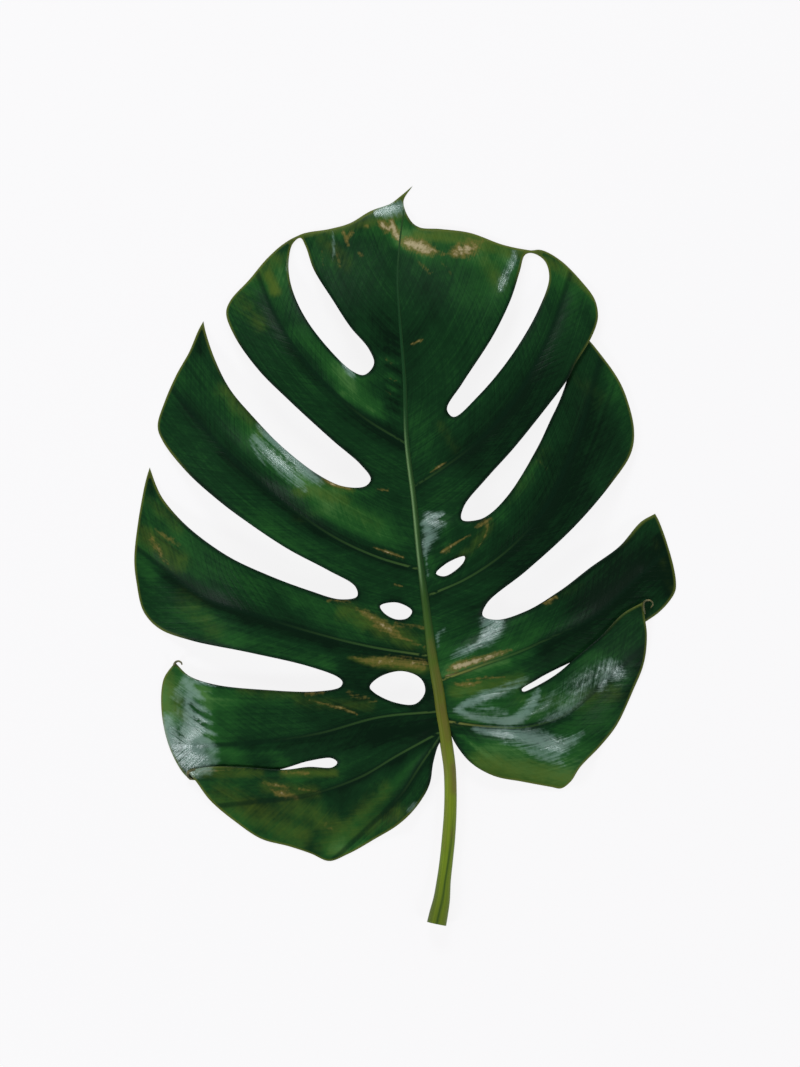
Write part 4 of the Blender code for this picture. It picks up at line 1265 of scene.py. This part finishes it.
def undersideMaterial():
    n = Nodes("paleUnderside")
    uv = n.add("ShaderNodeUVMap", uv_map="veinMap").outputs[0]
    streak = n.noise(n.stretch(uv, (420.0, 28.0, 1.0)), 1.0, 4.0, 0.6)
    colour = n.mix(n.ramp(streak, 0.3, 0.75), (0.040, 0.105, 0.030, 1), (0.065, 0.145, 0.045, 1))
    vein = n.ramp(n.attribute("vein"), 0.4, 1.6, 1.0, 0.0)
    colour = n.mix(n.times(vein, 0.8), colour, (0.13, 0.19, 0.06, 1))
    n.set("Base Color", colour)
    n.set("Roughness", 0.62)
    n.set("Normal", n.bump(streak, 0.4, 0.0006))
    return n.material


def curlMaterial():
    n = Nodes("dryCurl")
    solid = n.add("ShaderNodeTexCoord").outputs["Object"]
    patch = n.noise(solid, 300.0, 3.0)
    colour = n.mix(n.ramp(patch, 0.35, 0.7), (0.070, 0.075, 0.018, 1), (0.210, 0.180, 0.070, 1))
    n.set("Base Color", colour)
    n.set("Roughness", 0.5)
    n.set("Normal", n.bump(patch, 0.3, 0.0003))
    return n.material


def rimMaterial():
    n = Nodes("oliveRim")
    solid = n.add("ShaderNodeTexCoord").outputs["Object"]
    patch = n.noise(solid, 30.0, 3.0)
    olive = n.mix(n.ramp(patch, 0.35, 0.7), (0.040, 0.070, 0.014, 1), (0.110, 0.120, 0.025, 1))
    colour = n.mix(n.attribute("outer"), (0.006, 0.024, 0.008, 1), olive)
    n.set("Base Color", colour)
    n.set("Roughness", 0.7)
    n.set("Specular IOR Level", 0.10)
    return n.material


stalkLook = {
    # down the midrib from the tip of the leaf (y 200) to the cut end (y 925), in even steps; the
    # light step at about y 490 is a painted highlight
    "greens": [(0.050, 0.120, 0.032, 1), (0.016, 0.076, 0.022, 1), (0.014, 0.075, 0.022, 1),
               (0.024, 0.095, 0.028, 1), (0.070, 0.165, 0.040, 1), (0.030, 0.098, 0.022, 1),
               (0.088, 0.172, 0.026, 1), (0.200, 0.215, 0.022, 1), (0.280, 0.365, 0.024, 1),
               (0.245, 0.345, 0.024, 1), (0.200, 0.265, 0.024, 1)],
    # dark green for the stalk's groove and for the painted shade down both sides of the midrib
    "groove": (0.018, 0.062, 0.016, 1),
    "flank": (0.075, 0.110, 0.016, 1),
    "scuff": (0.190, 0.120, 0.045, 1),
    "paintedHighlightSide": (0.250, 0.400, 0.170, 1),
    "roughness": (0.55, 0.42),
    "specular": 0.14,
}


def stalkMaterial():
    n = Nodes("stalkSkin")
    solid = n.add("ShaderNodeTexCoord").outputs["Object"]
    uv = n.add("ShaderNodeUVMap", uv_map="stalkMap").outputs[0]
    grain = n.noise(n.stretch(uv, (60.0, 8.0, 1.0)), 1.0, 4.0, 0.6)
    cloud = n.noise(solid, 40.0, 3.0)
    colour = n.stops(n.attribute("down"), 200.0, 925.0, stalkLook["greens"])
    darker = n.mix(1.0, colour, (0.66, 0.72, 0.70, 1), "MULTIPLY")
    colour = n.mix(n.ramp(grain, 0.35, 0.70), darker, colour)
    colour = n.mix(n.times(n.ramp(cloud, 0.45, 0.75), 0.3), colour, darker)
    # a painted highlight down the left side of the midrib
    colour = n.mix(n.times(n.attribute("paintedHighlightSide"), 0.85), colour, stalkLook["paintedHighlightSide"])
    colour = n.mix(n.times(n.attribute("flank"), 0.55), colour, stalkLook["flank"])
    # darker along the stalk's groove, with painted shade down both sides of the midrib
    colour = n.mix(n.times(n.attribute("groove"), 0.85), colour, stalkLook["groove"])
    scuff = n.times(n.attribute("scuff"), n.ramp(grain, 0.3, 0.6))
    colour = n.mix(scuff, colour, stalkLook["scuff"])
    n.set("Base Color", colour)
    n.set("Roughness", n.ramp(grain, 0.2, 0.8, *stalkLook["roughness"]))
    n.set("Specular IOR Level", stalkLook["specular"])
    n.set("Normal", n.bump(grain, 0.35, 0.0004))
    return n.material


def cutMaterial():
    n = Nodes("cutFace")
    solid = n.add("ShaderNodeTexCoord").outputs["Object"]
    pores = n.add("ShaderNodeTexVoronoi")
    n.put(pores.inputs["Vector"], solid)
    pores.inputs["Scale"].default_value = 1500.0
    pith = n.ramp(pores.outputs["Distance"], 0.1, 0.5)
    colour = n.mix(pith, (0.12, 0.13, 0.03, 1), (0.34, 0.36, 0.15, 1))
    n.set("Base Color", colour)
    n.set("Roughness", 0.7)
    n.set("Normal", n.bump(pores.outputs["Distance"], 0.4, 0.0004))
    return n.material


# Stalk and midrib: one rod, round below, a low ridge over the blade

stalk = {
    "sides": 40,
    "step": 4.0,
    "groove": 0.10,  # depth of the upper groove, in radii
    "grooveWidth": 0.06,
    "shallow": 0.4,  # share of that depth in the midrib
    "deepens": (800, 860),  # where it becomes deep, from and to this y
    "sunk": 0.35,  # how far its middle lies under the blade's upper face, in radii
    "rises": (790, 740),  # where it leaves the ground, from and to this y
    "cutAngle": 50,  # degrees at which an edge stays sharp
    # markings, painted highlight and painted shade, from and to a y, or across from -1 at the left to
    # 1 at the right
    "highlightStripe": (-0.38, 0.26),  # its middle and width across
    "highlightBegins": (400, 470),
    "highlightEnds": (560, 600),
    "darkStripe": (0.42, 0.15),
    "darkBends": (830, 925),  # where it turns to the middle
    # painted shade down both sides of the midrib
    "shadeBegins": (250, 310),
    "shadeEnds": (610, 670),
    "rightShade": (0.10, 0.55),
    "leftShade": (-0.62, -0.87),
    "flanks": (0.66, 1.0),
    "flanksBegin": (690, 750),
    "leftFlank": (-0.25, -0.75),
    "leftBegins": (850, 900),
}
# x, y and half width in pixels, from the cut end to the tip
stalkRoute = [
    (436.5, 923, 9.8), (439, 911, 9.3), (441.5, 899, 8.4), (443.7, 880, 7.1),
    (446.2, 860, 6.7), (448.4, 838, 6.7), (450, 815, 6.4), (450.5, 792, 6.2),
    (449.6, 768, 6.2), (446.5, 745, 6.4), (442.3, 718, 6.4), (438, 687, 6.3),
    (431.5, 650, 5.4), (427, 615, 4.8), (420, 560, 3.9), (413.7, 500, 3.2),
    (406.5, 440, 2.8), (404.5, 380, 2.2), (399.8, 320, 1.7), (397.5, 280, 1.4),
    (400, 240, 1.0), (404, 210, 0.6),
]
# Brown patches: x and y at both ends, width, strength
scuffs = [
    (453, 765, 454, 790, 4, 0.85), (452, 830, 452, 836, 2, 0.5), (441, 705, 447, 738, 4, 0.55),
    (436, 668, 440, 690, 3, 0.45), (430, 640, 433, 655, 2.5, 0.4), (444, 745, 445, 775, 2, 0.5),
    (446, 800, 444, 850, 1.6, 0.35),
]


def makeStalk():
    route = smoothCurve(stalkRoute, stalk["step"])
    radius = route[:, 2] * pixel
    top = leafHeight(route[:, :2]) + facetForm(route[:, :2], slopes) + blade["thickness"]
    lift = ease(route[:, 1], *stalk["rises"])
    centre = radius + lift * (top - stalk["sunk"] * radius - radius)
    place = (route[:, :2] - photoMiddle) * (pixel, -pixel)
    spine = np.column_stack((place, centre))
    run = np.gradient(spine, axis=0)
    run /= np.linalg.norm(run, axis=1)[:, None]
    sides = stalk["sides"]
    turn = np.linspace(0.0, 2.0 * math.pi, sides, endpoint=False)
    crown = stalk["groove"] * band(np.sin(turn), 1.0, stalk["grooveWidth"])
    shallow = stalk["shallow"]
    rings = []
    for point, ahead, size, y in zip(spine, run, radius, route[:, 1]):
        across = np.cross(ahead, (0.0, 0.0, 1.0))
        across /= np.linalg.norm(across)
        up = np.cross(across, ahead)
        length = size * (1.0 - crown * (shallow + (1.0 - shallow) * ease(y, *stalk["deepens"])))
        rings.append(point + np.outer(np.cos(turn) * length, across)
                     + np.outer(np.sin(turn) * length, up))
    corners = np.concatenate(rings)
    corners[:, 2] = np.maximum(corners[:, 2], 0.0)
    count = len(rings)
    faces = []
    for ring in range(count - 1):
        for side in range(sides):
            a = ring * sides + side
            b = ring * sides + (side + 1) % sides
            faces.append((a, b, b + sides, a + sides))
    faces.append(tuple(range(sides - 1, -1, -1)))
    faces.append(tuple((count - 1) * sides + side for side in range(sides)))
    mesh = bpy.data.meshes.new("stalk")
    mesh.from_pydata(corners.tolist(), [], faces)
    # where every corner lies: down the leaf, from left to right, on the upper side or not
    down = np.repeat(route[:, 1], sides)
    cosine = np.tile(np.cos(turn), count)
    upper = np.tile(np.sin(turn), count) > 0.0
    putAttribute(mesh, "down", down)
    # a painted highlight down the left side of the midrib, between these y
    paintedHighlightSide = ease(down, *stalk["highlightBegins"]) * (1.0 - ease(down, *stalk["highlightEnds"]))
    putAttribute(mesh, "paintedHighlightSide", band(cosine, *stalk["highlightStripe"]) * upper * paintedHighlightSide)
    shaded = ease(down, *stalk["shadeBegins"]) * (1.0 - ease(down, *stalk["shadeEnds"]))
    stripe, width = stalk["darkStripe"]
    stripe = stripe - stripe * ease(down, *stalk["darkBends"])
    # darker along the stalk's groove, with painted shade down both sides of the midrib
    putAttribute(mesh, "groove", band(cosine, stripe, width) * upper * ease(down, *stalk["deepens"])
                 + 0.75 * shaded * ease(cosine, *stalk["rightShade"])
                 + 0.60 * shaded * ease(cosine, *stalk["leftShade"]))
    flank = ease(np.abs(cosine), *stalk["flanks"]) * ease(down, *stalk["flanksBegin"])
    leftFlank = ease(cosine, *stalk["leftFlank"]) * ease(down, *stalk["leftBegins"])
    putAttribute(mesh, "flank", flank + 0.8 * leftFlank)
    level = np.repeat(route[:, 0], sides) + cosine * np.repeat(route[:, 2], sides)
    putAttribute(mesh, "scuff", brush(np.column_stack((level, down)), straight(scuffs)))
    putMap(mesh, "stalkMap", np.column_stack((np.tile(turn / (2.0 * math.pi), count), down * pixel)))
    made = addObject("stalkAndMidrib", mesh)
    mesh.materials.append(stalkMaterial())
    mesh.materials.append(cutMaterial())
    mesh.polygons[len(mesh.polygons) - 2].material_index = 1
    pick(made)
    bpy.ops.object.mode_set(mode="EDIT")
    bpy.ops.mesh.select_all(action="SELECT")
    bpy.ops.mesh.normals_make_consistent(inside=False)
    bpy.ops.object.mode_set(mode="OBJECT")
    bpy.ops.object.shade_smooth_by_angle(angle=math.radians(stalk["cutAngle"]))
    print("stalk:", len(made.data.polygons), "faces")
    return made


leafBlade = makeBlade()
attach(leafBlade, "root")
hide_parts("leaf_blade")

leafStalk = makeStalk()
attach(leafStalk, "root")
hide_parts("leaf_stalk")
